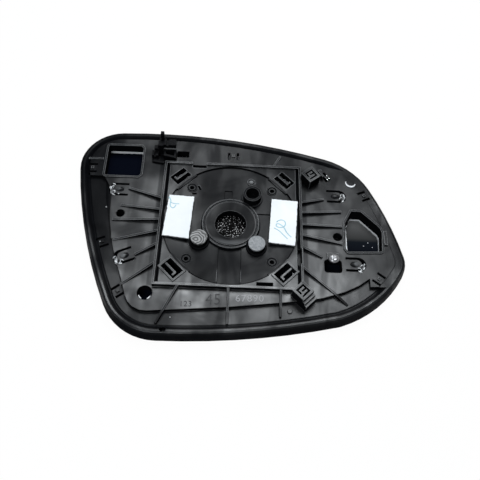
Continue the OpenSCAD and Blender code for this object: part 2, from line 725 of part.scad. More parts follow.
module towers() {
    tower(tower_upper, tower_upper_turn);
    block(upper_block_at, upper_block, upper_slot_turn, band_z, upper_block_z);
    tower(tower_lower, tower_lower_turn);
    // Two ledges on the lower tower's outer side
    translate([tower_lower.x, tower_lower.y, 0]) rotate(tower_lower_turn) {
        for (i = [0, 1])
            block([0, -tower_w / 2 - i * ledge_out / 2], [tower_w, (2 + i) * ledge_out], 0,
                band_z - past, ledge_z[i]);
    }
}

module small_marks() {
    for (t = tongues)
        tongue_shape(t, false);
    for (s = slit_pairs)
        block(s, [slit_bump, slit_bump], s[2], band_z - past, (s[4] == 0 ? band_z : plateau_z) + slit_bump_h);
    square_hook();
    block(ridge_at, [ridge_l, rib_t], slit_pairs[0][2], plateau_z - past, plateau_z + rib_end_h / 2);
    disc(band_peg, band_peg.z, band_z - past, band_z + slit_bump_h);
}

module plate_bores() {
    disc([0, 0], bore_r, plate_under - past, top_z);
    rotate_extrude() polygon([[0, bore_top], [bore_r, bore_top], [collar_in_r - ridge_w, collar_z],
        [collar_in_r - ridge_w, top_z], [0, top_z]]);
    for (p = [post_left, post_right])
        disc(p, post_bore_r, post_z - post_bore_d, post_z + past);
    disc(post_hollow, hollow_bore_r, dish_z - channel_d, top_z);
    difference() {
        disc(peg_at, peg_r - peg_wall, dish_z + peg_h / 3, top_z);
        translate([peg_at.x, peg_at.y, dish_z + peg_h / 3]) sphere(r = peg_dome_r);
    }
    for (x = [-boss_at, boss_at])
        for (y = [-boss_at, boss_at]) {
            disc([x, y], boss_bore_r, plate_under, top_z);
            ring([x, y], boss_r - boss_groove / 2, boss_r - 1.5 * boss_groove, dish_z + boss_h / 2, top_z);
        }
    for (m = boss_marks)
        block([m[0] - boss_at, m[1] + boss_at], [m[2], m[3]], m[4], plate_under, top_z);
    disc([clip_x - 4, clip_y + 4], clip_peg_r + peg_gap, plate_under - past, top_z);
}

module plate_openings() {
    slab(rounded(window_left), plate_under - past, top_z);
    between(window_right_low, plate_under - 0.01, [for (p = window_right) flat(p)], window_lip_z);
    slab([for (p = window_right) flat(p)], window_lip_z, top_z);
    for (t = tongues)
        tongue_shape(t, true);
    for (h = [hole_left, hole_right, hole_corner])
        disc(h, h.z, plate_under - past, top_z);
    slab(rounded([for (q = [[-1, -1], [1, -1], [1, 0.6], [-1, 0.6]])
        [square_at.x + q.x * square_w / 2, square_at.y + q.y * square_w / 2, square_round]]),
        plate_under - past, top_z);
    for (s = slit_pairs)
        for (side = [-1, 1])
            block([s.x + side * slit_gap / 2 * cos(s[3]), s.y + side * slit_gap / 2 * sin(s[3])],
                [slit_l, slit_w], s[2], plate_under - past, top_z);
    block(upper_slot_at, upper_slot, upper_slot_turn, plate_under - past, top_z);
    block(cable_slot_at, cable_slot, 0, plate_under - past, top_z);
    difference() {
        disc(crescent, crescent.z, plateau_z - crescent_d, top_z);
        disc([crescent.x, crescent.y + crescent_w], crescent.z, band_z, top_z + past);
    }
    // Drain notch in the rim's crest
    disc(drain_at, drain_r, plate_under + sheet_t / 2, top_z);
}

module backing_plate() {
    color([0.06, 0.06, 0.065])
        difference() {
            union() {
                difference() {
                    plate_body();
                    plate_hollows();
                }
                seat_parts();
                towers();
                small_marks();
            }
            plate_bores();
            plate_openings();
        }
}

module mirror_glass() {
    color([0.75, 0.8, 0.84])
        loft([[glass_inset + glass_bevel, 0], [glass_inset, glass_bevel], [glass_inset, glass_t]]);
}

module foam_sheet() {
    room = 2 * [sheet_room, sheet_room];
    color([0.9, 0.9, 0.9])
        difference() {
            slab(edge_loop(glass_inset + sheet_inset), glass_t, plate_under);
            slab(sheet_left, 0, top_z);
            slab(window_right_low, 0, top_z);
            block([0, 0], 2 * [hollow_half - 1.5, hollow_half - 1.5], 0, 0, top_z);
            for (t = tongues)
                disc(t, tongue_half + tongue_cut + sheet_room, 0, top_z);
            for (h = [hole_left, hole_right, hole_corner])
                disc(h, h.z + sheet_room, 0, top_z);
            block(square_at, [square_w, square_w] + room, 0, 0, top_z);
            block(upper_slot_at, upper_slot + room, upper_slot_turn, 0, top_z);
            block(cable_slot_at, cable_slot + room, 0, 0, top_z);
        }
}

module socket_foam() {
    color([0.1, 0.1, 0.1]) disc([0, 0], foam_r, glass_t, foam_top);
}

// The clip stands off the frame's upper left corner; its pieces are set from that corner
module wire_clip() {
    color([0.03, 0.03, 0.03])
        translate([clip_x, clip_y, 0]) difference() {
            union() {
                slab([[-8.4, 7.6], [-7.8, 0.2], [-1.0, -1.0], [0, 0], [6.9, 2.2], [6.9, 7.6]], plateau_z,
                    plateau_z + clip_foot_t);
                disc([-4, 4], clip_peg_r, hollow_z, plateau_z + past);
                // Left block
                block([-6.2, 4.5], [4.0, 4.0], 0, plateau_z, clip_block_z);
                // Cup
                slab([[-0.9, 2.0], [6.7, 0.4], [6.7, 6.8], [-0.9, 6.8]], plateau_z, cup_z);
                // Pillars behind the cup
                block([-2.6, 7.4], [3.0, 3.6], 0, plateau_z, hood_z);
                block([-5.6, 7.0], [2.0, 2.6], 0, plateau_z, hood_z - hood_t);
                // Hood and the arm that carries the finger
                block([2.6, 8.6], [7.8, 4.4], 0, hood_z - hood_t, hood_z);
                block([-1.8, 10.2], [3.6, 4.6], 0, hood_z - hood_t, hood_z - 0.8);
                block([-1.6, 11.4], [finger_w, 2.2], 0, hood_z - hood_t, finger_z);
            }
            slab([[0.4, 3.2], [5.4, 2.0], [5.4, 5.6], [0.4, 5.6]], plateau_z + clip_foot_t, cup_z + past);
            // Notches that make the left block and the hood step down
            block([-6.2, 4.5], [clip_wall, 4 + past], 0, clip_block_z - 1.2, clip_block_z + past);
            block([1.4, 8.6], [clip_wall, 6], 0, hood_z - 1.2, hood_z + past);
        }
}

module pad_left() {
    color([0.93, 0.94, 0.95]) slab(pad_left_loop, pad_z, pad_z + pad_t);
}

module pad_right() {
    color([0.93, 0.94, 0.95]) slab(pad_right_loop, pad_z, pad_z + pad_t);
}

module post_cap(at) {
    disc(at, cap_r, post_z, post_z + cap_t);
    disc(at, post_bore_r - cap_gap, post_z - post_bore_d + past, post_z + cap_t / 2);
}

module post_cap_left() {
    color([0.45, 0.45, 0.44]) post_cap(post_left);
}

module post_cap_right() {
    color([0.55, 0.55, 0.55]) post_cap(post_right);
}

// Sheet metal tab folded to a channel, on a foot that is stuck to the glass
module terminal_tab() {
    color([0.8, 0.8, 0.8])
        translate([upper_slot_at.x, upper_slot_at.y, 0]) rotate(upper_slot_turn)
            translate([tab_t / 2, (tab_l - upper_slot.y + sheet_room) / 2, 0]) {
                block([0, 0], [tab_w, tab_l], 0, glass_t, glass_t + tab_t);
                for (side = [-1, 1])
                    block([side * (tab_w - tab_t) / 2, 0], [tab_t, tab_l], 0, glass_t, tab_z);
            }
}

backing_plate();
mirror_glass();
foam_sheet();
socket_foam();
wire_clip();
pad_left();
pad_right();
post_cap_left();
post_cap_right();
terminal_tab();
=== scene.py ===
# %% [markdown]
# # A car door mirror glass, seen from the back
# The real object is a heated mirror glass glued on a black moulded plate. It lies face down, so we look at
# the back of the plate, with its round actuator seat, ribs, clips, two windows and a few small fittings.
# The solids come from the CAD frame. This script gives them their finishes, adds the soft foam and the
# fine pieces that are too small or too ragged for CAD, and sets up the light and the camera.

# %% Load the frame
import json
import math

import bmesh
import bpy
from mathutils import Vector, Matrix, noise

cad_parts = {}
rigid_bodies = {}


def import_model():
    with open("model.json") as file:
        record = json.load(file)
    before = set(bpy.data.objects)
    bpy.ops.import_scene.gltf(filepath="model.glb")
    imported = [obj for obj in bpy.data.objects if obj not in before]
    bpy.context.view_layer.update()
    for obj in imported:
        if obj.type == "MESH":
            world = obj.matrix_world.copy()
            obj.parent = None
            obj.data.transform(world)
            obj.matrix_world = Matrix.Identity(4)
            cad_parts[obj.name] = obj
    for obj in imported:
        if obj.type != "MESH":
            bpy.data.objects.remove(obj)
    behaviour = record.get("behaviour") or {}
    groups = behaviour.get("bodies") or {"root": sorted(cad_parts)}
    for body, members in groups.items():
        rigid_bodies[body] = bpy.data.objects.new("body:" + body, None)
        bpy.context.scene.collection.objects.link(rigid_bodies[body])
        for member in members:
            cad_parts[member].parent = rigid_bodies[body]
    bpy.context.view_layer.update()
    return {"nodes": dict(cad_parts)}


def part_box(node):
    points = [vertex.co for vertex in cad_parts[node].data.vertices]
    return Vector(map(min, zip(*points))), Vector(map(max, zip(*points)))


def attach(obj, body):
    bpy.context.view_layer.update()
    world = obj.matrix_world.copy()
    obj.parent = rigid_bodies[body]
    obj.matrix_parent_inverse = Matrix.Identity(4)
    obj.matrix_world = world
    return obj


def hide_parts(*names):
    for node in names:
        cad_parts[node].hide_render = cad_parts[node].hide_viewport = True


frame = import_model()
nodes = frame["nodes"]
MM = 0.001
print("pieces in the frame:", sorted(nodes))

# %% [markdown]
# ## Heights
# The pieces that this script adds lie on the solids, so their heights are read from the solids' boxes. The
# plateau is one level of the plate, inside its box, and so it is written here as a value.

# %% Take the heights from the solids
GLASS_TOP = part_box("mirror_glass")[1].z
SHEET_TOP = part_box("foam_sheet")[1].z
PAD_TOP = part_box("pad_left")[1].z
FOAM_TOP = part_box("socket_foam")[1].z
PLATEAU = 0.0092
print("glass back at", round(GLASS_TOP, 4), "foam sheet's top at", round(SHEET_TOP, 4))

# %% [markdown]
# ## Camera
# The photo was taken from about 60 degrees above the plate, from the side of its long lower edge, with the
# picture turned by 4.5 degrees. The place and the directions below were solved from the square frame and
# the round seat. The camera is built from its three directions, so that no rounding creeps in.

# %% Camera
CAMERA_AT = Vector((-0.000605, -0.167376, 0.286269))
LOOK_UP = math.radians(60.397)
LOOK_TURN = math.radians(2.296)
LOOK_ROLL = math.radians(4.535)
PICTURE_ANGLE = 2 * math.atan(240 / 562.57)


def in_scene(name, data):
    """Make an object of this data and link it to the scene."""
    thing = bpy.data.objects.new(name, data)
    bpy.context.scene.collection.objects.link(thing)
    return thing


away = Vector((
    -math.cos(LOOK_UP) * math.sin(LOOK_TURN),
    -math.cos(LOOK_UP) * math.cos(LOOK_TURN),
    math.sin(LOOK_UP),
))
level = Vector((math.cos(LOOK_TURN), -math.sin(LOOK_TURN), 0))
steep = level.cross(-away)
right = math.cos(LOOK_ROLL) * level + math.sin(LOOK_ROLL) * steep
up = math.cos(LOOK_ROLL) * steep - math.sin(LOOK_ROLL) * level

camera_data = bpy.data.cameras.new("camera")
camera_data.sensor_fit = "HORIZONTAL"
camera_data.angle = PICTURE_ANGLE
camera_data.clip_start = 0.01
camera = in_scene("camera", camera_data)
turn = Matrix((right, up, away)).transposed()
camera.matrix_world = Matrix.Translation(CAMERA_AT) @ turn.to_4x4()
bpy.context.scene.camera = camera
print("camera angle in degrees:", round(math.degrees(PICTURE_ANGLE), 2))

# %% [markdown]
# ## Room
# The photo is a product shot on plain white. A large floor with a low wall on each side stands in for the
# sheet of paper under a real product, so that every view ends on paper. Two helpers come first: one starts
# an empty material, the other hangs a soft lamp. In every material, n holds the nodes and l the links.

# %% Room helpers
def new_material(name):
    """Start a material without any nodes."""
    material = bpy.data.materials.new(name)
    material.use_nodes = True
    tree = material.node_tree
    tree.nodes.clear()
    return material, tree.nodes, tree.links


def soft_lamp(name, at, toward, width, depth, power):
    """Hang a rectangular lamp of a cool white and turn it toward a point."""
    data = bpy.data.lights.new(name, "AREA")
    data.shape = "RECTANGLE"
    data.size = width
    data.size_y = depth
    data.energy = power
    data.color = (0.93, 0.97, 1.0)
    lamp = in_scene(name, data)
    lamp.location = at
    lamp.rotation_euler = (Vector(toward) - Vector(at)).to_track_quat("-Z", "Y").to_euler()
    return lamp


print("room helpers:", new_material.__name__, "and", soft_lamp.__name__)

# %% Floor and backdrop
HALF_ROOM = 3.0
WALL = 1.3
FLOOR_DROP = 0.0001
floor_corners = [(x * HALF_ROOM, y * HALF_ROOM) for x, y in ((-1, -1), (1, -1), (1, 1), (-1, 1))]
room_points = [(x, y, z) for z in (0, WALL) for x, y in floor_corners]
walls = [(k, k + 4, (k + 1) % 4 + 4, (k + 1) % 4) for k in range(4)]
floor_mesh = bpy.data.meshes.new("floor_and_backdrop")
floor_mesh.from_pydata(room_points, [], [(0, 1, 2, 3)] + walls)
floor = in_scene("floor_and_backdrop", floor_mesh)
floor.location.z = -FLOOR_DROP
print("room in metres:", 2 * HALF_ROOM, "wide with walls of", WALL)

# %% [markdown]
# ## White paper
# Paper that is lit until it shows white would need far more light than the black plate can take. So the
# paper glows by itself, but only for the camera, for glossy surfaces and through glass. All other rays meet
# a plain matt white, which keeps a faint shadow and throws a little light back at the object.

# %% Sum helper and paper
def calc(n, l, kind, a, b):
    """Add a math node; a and b are numbers or sockets."""
    node = n.new("ShaderNodeMath")
    node.operation = kind
    node.use_clamp = False
    for socket, value in zip(node.inputs, (a, b)):
        if isinstance(value, (int, float)):
            socket.default_value = value
        else:
            l.new(value, socket)
    return node.outputs[0]


PAPER_GLOW = 0.97
paper, n, l = new_material("white_paper_floor")
out = n.new("ShaderNodeOutputMaterial")
mix = n.new("ShaderNodeMixShader")
diffuse = n.new("ShaderNodeBsdfDiffuse")
glow = n.new("ShaderNodeEmission")
path = n.new("ShaderNodeLightPath")
diffuse.inputs["Color"].default_value = (0.9, 0.9, 0.9, 1)
glow.inputs["Strength"].default_value = 1.0
looks = calc(n, l, "MAXIMUM", path.outputs["Is Camera Ray"], path.outputs["Is Glossy Ray"])
looks = calc(n, l, "MAXIMUM", looks, path.outputs["Is Transmission Ray"])
l.new(calc(n, l, "MULTIPLY", looks, PAPER_GLOW), mix.inputs[0])
l.new(diffuse.outputs[0], mix.inputs[1])
l.new(glow.outputs[0], mix.inputs[2])
l.new(mix.outputs[0], out.inputs["Surface"])
floor.data.materials.append(paper)
print("the paper glows with", PAPER_GLOW, "of full white")

# %% [markdown]
# ## Light
# Black plastic shows little of its own colour: what we see is mostly the mirror image of the lamps, and
# their place decides which faces look grey and which stay black. One large soft lamp hangs beyond the
# plate's upper side and a weaker one on our side. The sky adds a faint cool light, so that no face is fully
# black.

# %% Sky and lamps
world = bpy.data.worlds.new("studio")
bpy.context.scene.world = world
world.use_nodes = True
sky = world.node_tree.nodes["Background"]
sky.inputs["Color"].default_value = (0.9, 0.94, 1.0, 1)
sky.inputs["Strength"].default_value = 0.08

soft_lamp("lamp_north", (0.06, 0.30, 0.62), (0.0, 0.0, 0.0), 0.42, 0.34, 4.6)
soft_lamp("lamp_camera_side", (-0.20, -0.42, 0.62), (0.0, 0.0, 0.0), 0.34, 0.24, 2.6)
bpy.context.scene.view_settings.view_transform = "Standard"

# %% [markdown]
# ## Small helpers for finishes
# The finishes below are made of the same few steps: a noise, a ramp of colours, a bump, a sum, and a soft
# step from one value to another. Each is a short function that adds its nodes and hands back the socket to
# link on, so that a finish reads like a recipe.

# %% Noise, colour and bump
def noise_field(n, l, scale, detail, distortion=0.0):
    """Cloudy values round 0.5, fixed to the piece; a larger scale gives smaller clouds."""
    place = n.new("ShaderNodeTexCoord")
    field = n.new("ShaderNodeTexNoise")
    field.inputs["Scale"].default_value = scale
    field.inputs["Detail"].default_value = detail
    field.inputs["Distortion"].default_value = distortion
    l.new(place.outputs["Object"], field.inputs["Vector"])
    return field.outputs["Fac"]


def steps(n, l, value, stops):
    """Turn a value into a colour; stops are pairs of place and colour."""
    ramp = n.new("ShaderNodeValToRGB")
    items = ramp.color_ramp.elements
    while len(items) < len(stops):
        items.new(0.5)
    for item, (at, shade) in zip(items, stops):
        item.position = at
        item.color = shade if len(shade) == 4 else (*shade, 1)
    l.new(value, ramp.inputs["Fac"])
    return ramp.outputs["Color"]


def grey(v):
    return (v, v, v, 1)


def bump(n, l, height, strength, distance):
    """Tilt the light on the skin as if it had this height; the mesh stays as it is."""
    node = n.new("ShaderNodeBump")
    node.inputs["Strength"].default_value = strength
    node.inputs["Distance"].default_value = distance
    l.new(height, node.inputs["Height"])
    return node.outputs["Normal"]


print("a middle grey is", grey(0.5))

# %% [markdown]
# ## The base of the plastics
# Moulded plastic is never of one tone: the melt flowed, and its colour and gloss drift with it. So one
# noise drives both the colour and the roughness, and a second, fine one gives the grain of the skin.

# %% Plastic helper
def plastic(name, dark, light, rough_low, rough_high, grain, grain_depth):
    """A skin that drifts between two colours and two roughnesses, with a fine grain."""
    material, n, l = new_material(name)
    out = n.new("ShaderNodeOutputMaterial")
    skin = n.new("ShaderNodeBsdfPrincipled")
    l.new(skin.outputs[0], out.inputs["Surface"])
    flow = noise_field(n, l, 55, 5, 0.6)
    l.new(steps(n, l, flow, [(0.3, dark), (0.75, light)]), skin.inputs["Base Color"])
    l.new(steps(n, l, flow, [(0.3, grey(rough_low)), (0.7, grey(rough_high))]), skin.inputs["Roughness"])
    fine = noise_field(n, l, grain, 3)
    l.new(bump(n, l, fine, 0.35, grain_depth), skin.inputs["Normal"])
    return material, n, l, skin


def rounded_edges(n, l, skin, radius):
    """Let light run round the sharp edges, as the real mould's edges do."""
    bevel = n.new("ShaderNodeBevel")
    bevel.samples = 6
    bevel.inputs["Radius"].default_value = radius
    grain = skin.inputs["Normal"].links[0].from_node
    l.new(bevel.outputs[0], grain.inputs["Normal"])


print("materials so far:", len(bpy.data.materials))

# %% [markdown]
# ## Helpers for places on the plate
# The shine of the plate depends on where a point lies and which way its face looks. These functions give
# both as numbers: the place comes from the object's own coordinates in metres, the direction from the true
# normal. A soft step then turns a number into a share of shine.

# %% Place, direction and soft steps
def ease(n, l, value, low, high, start=0.0, end=1.0):
    """Go softly from start to end while the value goes from low to high."""
    node = n.new("ShaderNodeMapRange")
    node.interpolation_type = "SMOOTHSTEP"
    node.inputs["From Min"].default_value = low
    node.inputs["From Max"].default_value = high
    node.inputs["To Min"].default_value = start
    node.inputs["To Max"].default_value = end
    l.new(value, node.inputs["Value"])
    return node.outputs[0]


def coordinates(n, l):
    """The place of a point as X, Y and Z in metres."""
    place = n.new("ShaderNodeTexCoord")
    split = n.new("ShaderNodeSeparateXYZ")
    l.new(place.outputs["Object"], split.inputs[0])
    return split.outputs


def direction(n, l):
    """The way a face looks as X, Y and Z; a level face has Z = 1."""
    facing = n.new("ShaderNodeNewGeometry")
    split = n.new("ShaderNodeSeparateXYZ")
    l.new(facing.outputs["True Normal"], split.inputs[0])
    return split.outputs


def distance_to(n, l, x, y, at):
    """How far a point lies from an upright axis."""
    dx = calc(n, l, "SUBTRACT", x, at[0])
    dy = calc(n, l, "SUBTRACT", y, at[1])
    square = calc(n, l, "ADD", calc(n, l, "MULTIPLY", dx, dx), calc(n, l, "MULTIPLY", dy, dy))
    return calc(n, l, "SQRT", square, 0.0)


def product(n, l, *values):
    """All values multiplied."""
    result = values[0]
    for value in values[1:]:
        result = calc(n, l, "MULTIPLY", result, value)
    return result


print("place helpers:", coordinates.__name__, direction.__name__, distance_to.__name__)

# %% [markdown]
# Faces that look up keep their shine. Upright walls and faces toward the lower side lose nearly all of it,
# a painted shade that keeps them black. Along the plateau run soft streaks, where the melt was pushed
# from the upper to the lower edge.

# %% Faces and streaks
def face_share(n, l):
    """Full shine on faces that look up, nearly none on walls and on faces toward the lower side."""
    looks = direction(n, l)
    # Painted shade: upright walls and faces toward the lower side lose nearly all their shine and stay
    # black.
    upward = ease(n, l, looks["Z"], 0.15, 0.75, 0.04, 1.0)
    lower_side_shade = ease(n, l, looks["Y"], -0.50, -0.30, 0.15, 1.0)
    return calc(n, l, "MULTIPLY", upward, lower_side_shade)


def long_streaks(n, l, scale, low, high):
    """A noise drawn out from the upper to the lower edge."""
    place = n.new("ShaderNodeTexCoord")
    stretch = n.new("ShaderNodeVectorMath")
    stretch.operation = "MULTIPLY"
    stretch.inputs[1].default_value = (1.0, 0.28, 1.0)
    field = n.new("ShaderNodeTexNoise")
    field.inputs["Scale"].default_value = scale
    field.inputs["Detail"].default_value = 2
    field.inputs["Distortion"].default_value = 0.8
    l.new(place.outputs["Object"], stretch.inputs[0])
    l.new(stretch.outputs[0], field.inputs["Vector"])
    return ease(n, l, field.outputs["Fac"], 0.38, 0.62, low, high)


print("shine helpers:", face_share.__name__, long_streaks.__name__)

# %% [markdown]
# ## Open edges: painted highlight and wear
# The high open edges get a painted highlight, which also stands for a little wear from handling. A rounded
# normal differs from the true one only near an edge, and ambient occlusion tells whether that edge lies
# open or deep in a corner. Both together mark the open edges, without any drawing by hand.

# %% Rubbed edge helper
def edge_share(n, l, radius):
    """1 on an open edge, 0 on a flat face or in a corner."""
    rounded = n.new("ShaderNodeBevel")
    rounded.samples = 6
    rounded.inputs["Radius"].default_value = radius
    sharp = n.new("ShaderNodeNewGeometry")
    dot = n.new("ShaderNodeVectorMath")
    dot.operation = "DOT_PRODUCT"
    l.new(rounded.outputs[0], dot.inputs[0])
    l.new(sharp.outputs["True Normal"], dot.inputs[1])
    open_sky = n.new("ShaderNodeAmbientOcclusion")
    open_sky.samples = 6
    open_sky.inputs["Distance"].default_value = 0.0015
    bent = ease(n, l, calc(n, l, "SUBTRACT", 1.0, dot.outputs["Value"]), 0.01, 0.12)
    return calc(n, l, "MULTIPLY", bent, ease(n, l, open_sky.outputs["AO"], 0.45, 0.85))


print("edge helper:", edge_share.__name__)

# %% [markdown]
# ## The plate's black plastic
# The real plate is one black moulding, yet it shows in many greys, as the lamps mirror in it. The colour
# stays nearly black here and only the shine changes, and most of these changes are painted light and
# shade: shares of shine set by place and by the way a face looks. Each cell below makes shares of shine:
# 1 leaves a place as it is, less makes it darker.
# At the end all shares are multiplied. Places are in metres from the middle of the ball bore.

# %% Plate plastic and its coordinates
plate_plastic, n, l, skin = plastic(
    "plate_plastic", (0.0022, 0.0024, 0.0030), (0.0060, 0.0064, 0.0075), 0.34, 0.46, 2600, 0.00010)
x, y, z = coordinates(n, l)
x_size = calc(n, l, "ABSOLUTE", x, 0.0)
y_size = calc(n, l, "ABSOLUTE", y, 0.0)
from_middle = distance_to(n, l, x, y, (0.0, 0.0))
shares = [face_share(n, l)]
print("base of the plate plastic has", len(n), "nodes")

# %% [markdown]
# The round seat shines less than the plateau. Painted shade darkens it toward the long lower edge and a
# little toward the upper edge, and a painted highlight makes the collar's ridges shine more. MAXIMUM with
# a share that is 1 outside the seat keeps a change inside it. Painted shade keeps the posts and their feet
# dark, and lies as a dark ring in each ring boss's groove round its bore.

# %% Shine of the seat and collar
SEAT_EDGE = (0.0388, 0.0392)
outside_seat = ease(n, l, from_middle, *SEAT_EDGE)
# Painted shade toward the lower and the upper edge of the seat.
seat_lower_shade = ease(n, l, y, -0.026, -0.006, 0.34, 1.0)
seat_upper_shade = ease(n, l, y, 0.012, 0.030, 1.0, 0.74)
shares.append(ease(n, l, from_middle, *SEAT_EDGE, 0.44, 1.0))
shares.append(calc(n, l, "MAXIMUM", outside_seat, seat_lower_shade))
shares.append(calc(n, l, "MAXIMUM", outside_seat, seat_upper_shade))
# Painted highlight on the collar.
shares.append(ease(n, l, from_middle, 0.0168, 0.0172, 1.6, 1.0))
print("shares for the seat and the collar:", len(shares) - 1)

# %% Shine of the posts and ring bosses
# Middle and radius of each post, and the share of shine left on it: painted shade on the post and its foot.
POSTS = [
    ((-0.0174, -0.0120), 0.0058, 0.05),
    ((0.0150, -0.0145), 0.0058, 0.05),
    ((0.0120, 0.0180), 0.0062, 0.40),
]
BOSS_AT = (0.0238, 0.0238)
# Share of shine in the ring boss groove: painted shade.
BOSS_GROOVE_SHADE = 0.10
post_painted_shade = product(n, l, *[ease(n, l, distance_to(n, l, x, y, at), r, r + 0.0004, inside, 1.0)
                             for at, r, inside in POSTS])
boss_distance = distance_to(n, l, x_size, y_size, BOSS_AT)
groove_inner = ease(n, l, boss_distance, 0.00195, 0.00210, 1.0, BOSS_GROOVE_SHADE)
groove_outer = ease(n, l, boss_distance, 0.00272, 0.00285, BOSS_GROOVE_SHADE, 1.0)
shares.append(post_painted_shade)
shares.append(calc(n, l, "MAXIMUM", groove_inner, groove_outer))
print("posts with dark feet:", len(POSTS))

# %% [markdown]
# The low band inside the rim, the slopes on the left, the frame's side walls with a strip beside them and
# the window lips get painted shade. They are found by their height or slope together with their place, and
# taken down from 1.

# %% Shine of band, slopes, walls and lips
def less(n, l, *parts):
    """A share of 1, taken down where all the parts hold."""
    return calc(n, l, "SUBTRACT", 1.0, product(n, l, *parts))


low = ease(n, l, z, 0.0069, 0.0090, 1.0, 0.0)
low_by_place = product(n, l, ease(n, l, x, -0.060, -0.010, 0.72, 0.44),
                       ease(n, l, x, 0.050, 0.072, 1.0, 0.10))
sloping = ease(n, l, direction(n, l)["Z"], 0.975, 0.99, 1.0, 0.0)
from_wall = calc(n, l, "ABSOLUTE", calc(n, l, "SUBTRACT", x_size, 0.0416), 0.0)
wall_width = ease(n, l, from_wall, 0.0020, 0.0030, 1.0, 0.0)
wall_length = ease(n, l, y_size, 0.0400, 0.0412, 1.0, 0.0)
lip_height = product(n, l, ease(n, l, z, 0.0095, 0.0098), ease(n, l, z, 0.0101, 0.0104, 1.0, 0.0))
lip_place = calc(n, l, "MAXIMUM", ease(n, l, x, -0.0510, -0.0500, 1.0, 0.0), ease(n, l, x, 0.0640, 0.0650))
# Painted shade on the low band, the left slopes, the side walls with their strips and the window lips.
shares.append(less(n, l, low, low_by_place))
shares.append(less(n, l, sloping, ease(n, l, x, -0.050, -0.020, 0.65, 0.0)))
shares.append(less(n, l, wall_width, wall_length, ease(n, l, z, 0.0085, 0.0090), 0.55))
shares.append(less(n, l, lip_height, lip_place, 0.52))
print("shares so far:", len(shares))

# %% [markdown]
# Painted light and shade by side: the shine falls off toward the upper side and toward the right end, the
# band along the far left is darker, and the left part and the upper right are lighter. In the next cell,
# painted shadow darkens the floor beside the clip and near the frame's upper right corner.

# %% Shine by side
# Painted light and shade by side.
left_band = calc(n, l, "MAXIMUM", ease(n, l, x, -0.0745, -0.0650), ease(n, l, y, -0.034, -0.058))
upper_shade = ease(n, l, y, 0.0, 0.045, 0.42, 0.27)
upper_right_highlight = product(n, l, ease(n, l, x, 0.040, 0.055), ease(n, l, y, 0.004, 0.022))
shares.append(ease(n, l, left_band, 0.0, 1.0, 0.36, 1.0))
shares.append(calc(n, l, "ADD", ease(n, l, y, -0.034, 0.004, 0.44, 0.0), upper_shade))
shares.append(ease(n, l, x, 0.010, 0.090, 1.0, 0.70))
shares.append(ease(n, l, x, -0.027, -0.012, 1.42, 1.0))
shares.append(ease(n, l, upper_right_highlight, 0.0, 1.0, 1.0, 1.5))
print("shares so far:", len(shares))

# %% Shine by spot
# Painted shadow near the frame's upper right corner and beside the clip, painted shade on the corner floors
# and on the tip's shoulder, and a painted glint on the left band.
tip_shoulder = product(n, l, ease(n, l, x, 0.0850, 0.0890), ease(n, l, y, -0.028, -0.022),
                       ease(n, l, y, 0.003, 0.008, 1.0, 0.0))
band_painted_glint = product(n, l, ease(n, l, x, -0.074, -0.070, 1.0, 0.0), ease(n, l, y, -0.026, -0.020),
                     ease(n, l, y, -0.008, -0.004, 1.0, 0.0), 0.9)
corner_floor = ease(n, l, z, 0.0108, 0.0111, 1.0, 0.76)
above_floor = ease(n, l, z, 0.0116, 0.0122)
shares.append(ease(n, l, distance_to(n, l, x, y, (0.036, 0.034)), 0.005, 0.014, 0.50, 1.0))
shares.append(ease(n, l, distance_to(n, l, x, y, (-0.049, 0.042)), 0.007, 0.015, 0.48, 1.0))
shares.append(calc(n, l, "MAXIMUM", corner_floor, above_floor))
shares.append(less(n, l, tip_shoulder, 0.55))
shares.append(calc(n, l, "ADD", 1.0, band_painted_glint))
print("shares so far:", len(shares))

# %% [markdown]
# Last comes the unevenness of the melt: soft clouds a few centimetres wide, and finer streaks that run
# from the upper to the lower edge. The product of all shares becomes the plastic's specular level.

# %% Clouds, streaks and painted edge highlights
shares.append(ease(n, l, noise_field(n, l, 30, 3, 1.2), 0.36, 0.66, 0.60, 1.40))
shares.append(long_streaks(n, l, 75, 0.62, 1.32))
# The open edges get a painted highlight, in shine and below in colour, which also stands for a little wear.
inside_ring = ease(n, l, from_middle, 0.0374, 0.0379, 1.0, 0.0)
outside_ring = ease(n, l, from_middle, 0.0397, 0.0402)
edge_highlight_and_wear = product(n, l, edge_share(n, l, 0.0008), ease(n, l, z, 0.0093, 0.0097),
                calc(n, l, "MAXIMUM", inside_ring, outside_ring), post_painted_shade,
                ease(n, l, boss_distance, 0.0032, 0.0037, 0.25, 1.0), 0.75)
flat_shine = calc(n, l, "MULTIPLY", product(n, l, *shares), 0.70)
edge_shine = calc(n, l, "MULTIPLY", edge_highlight_and_wear, 0.55)
l.new(calc(n, l, "ADD", flat_shine, edge_shine), skin.inputs["Specular IOR Level"])
print("shares of shine:", len(shares))

# %% [markdown]
# Painted highlights, on the open edges also standing for a little wear: the open edges, the lower side of
# the funnel round the ball bore, the small peg and the dimples of three spring tongues turn grey by a mix
# into the colour.

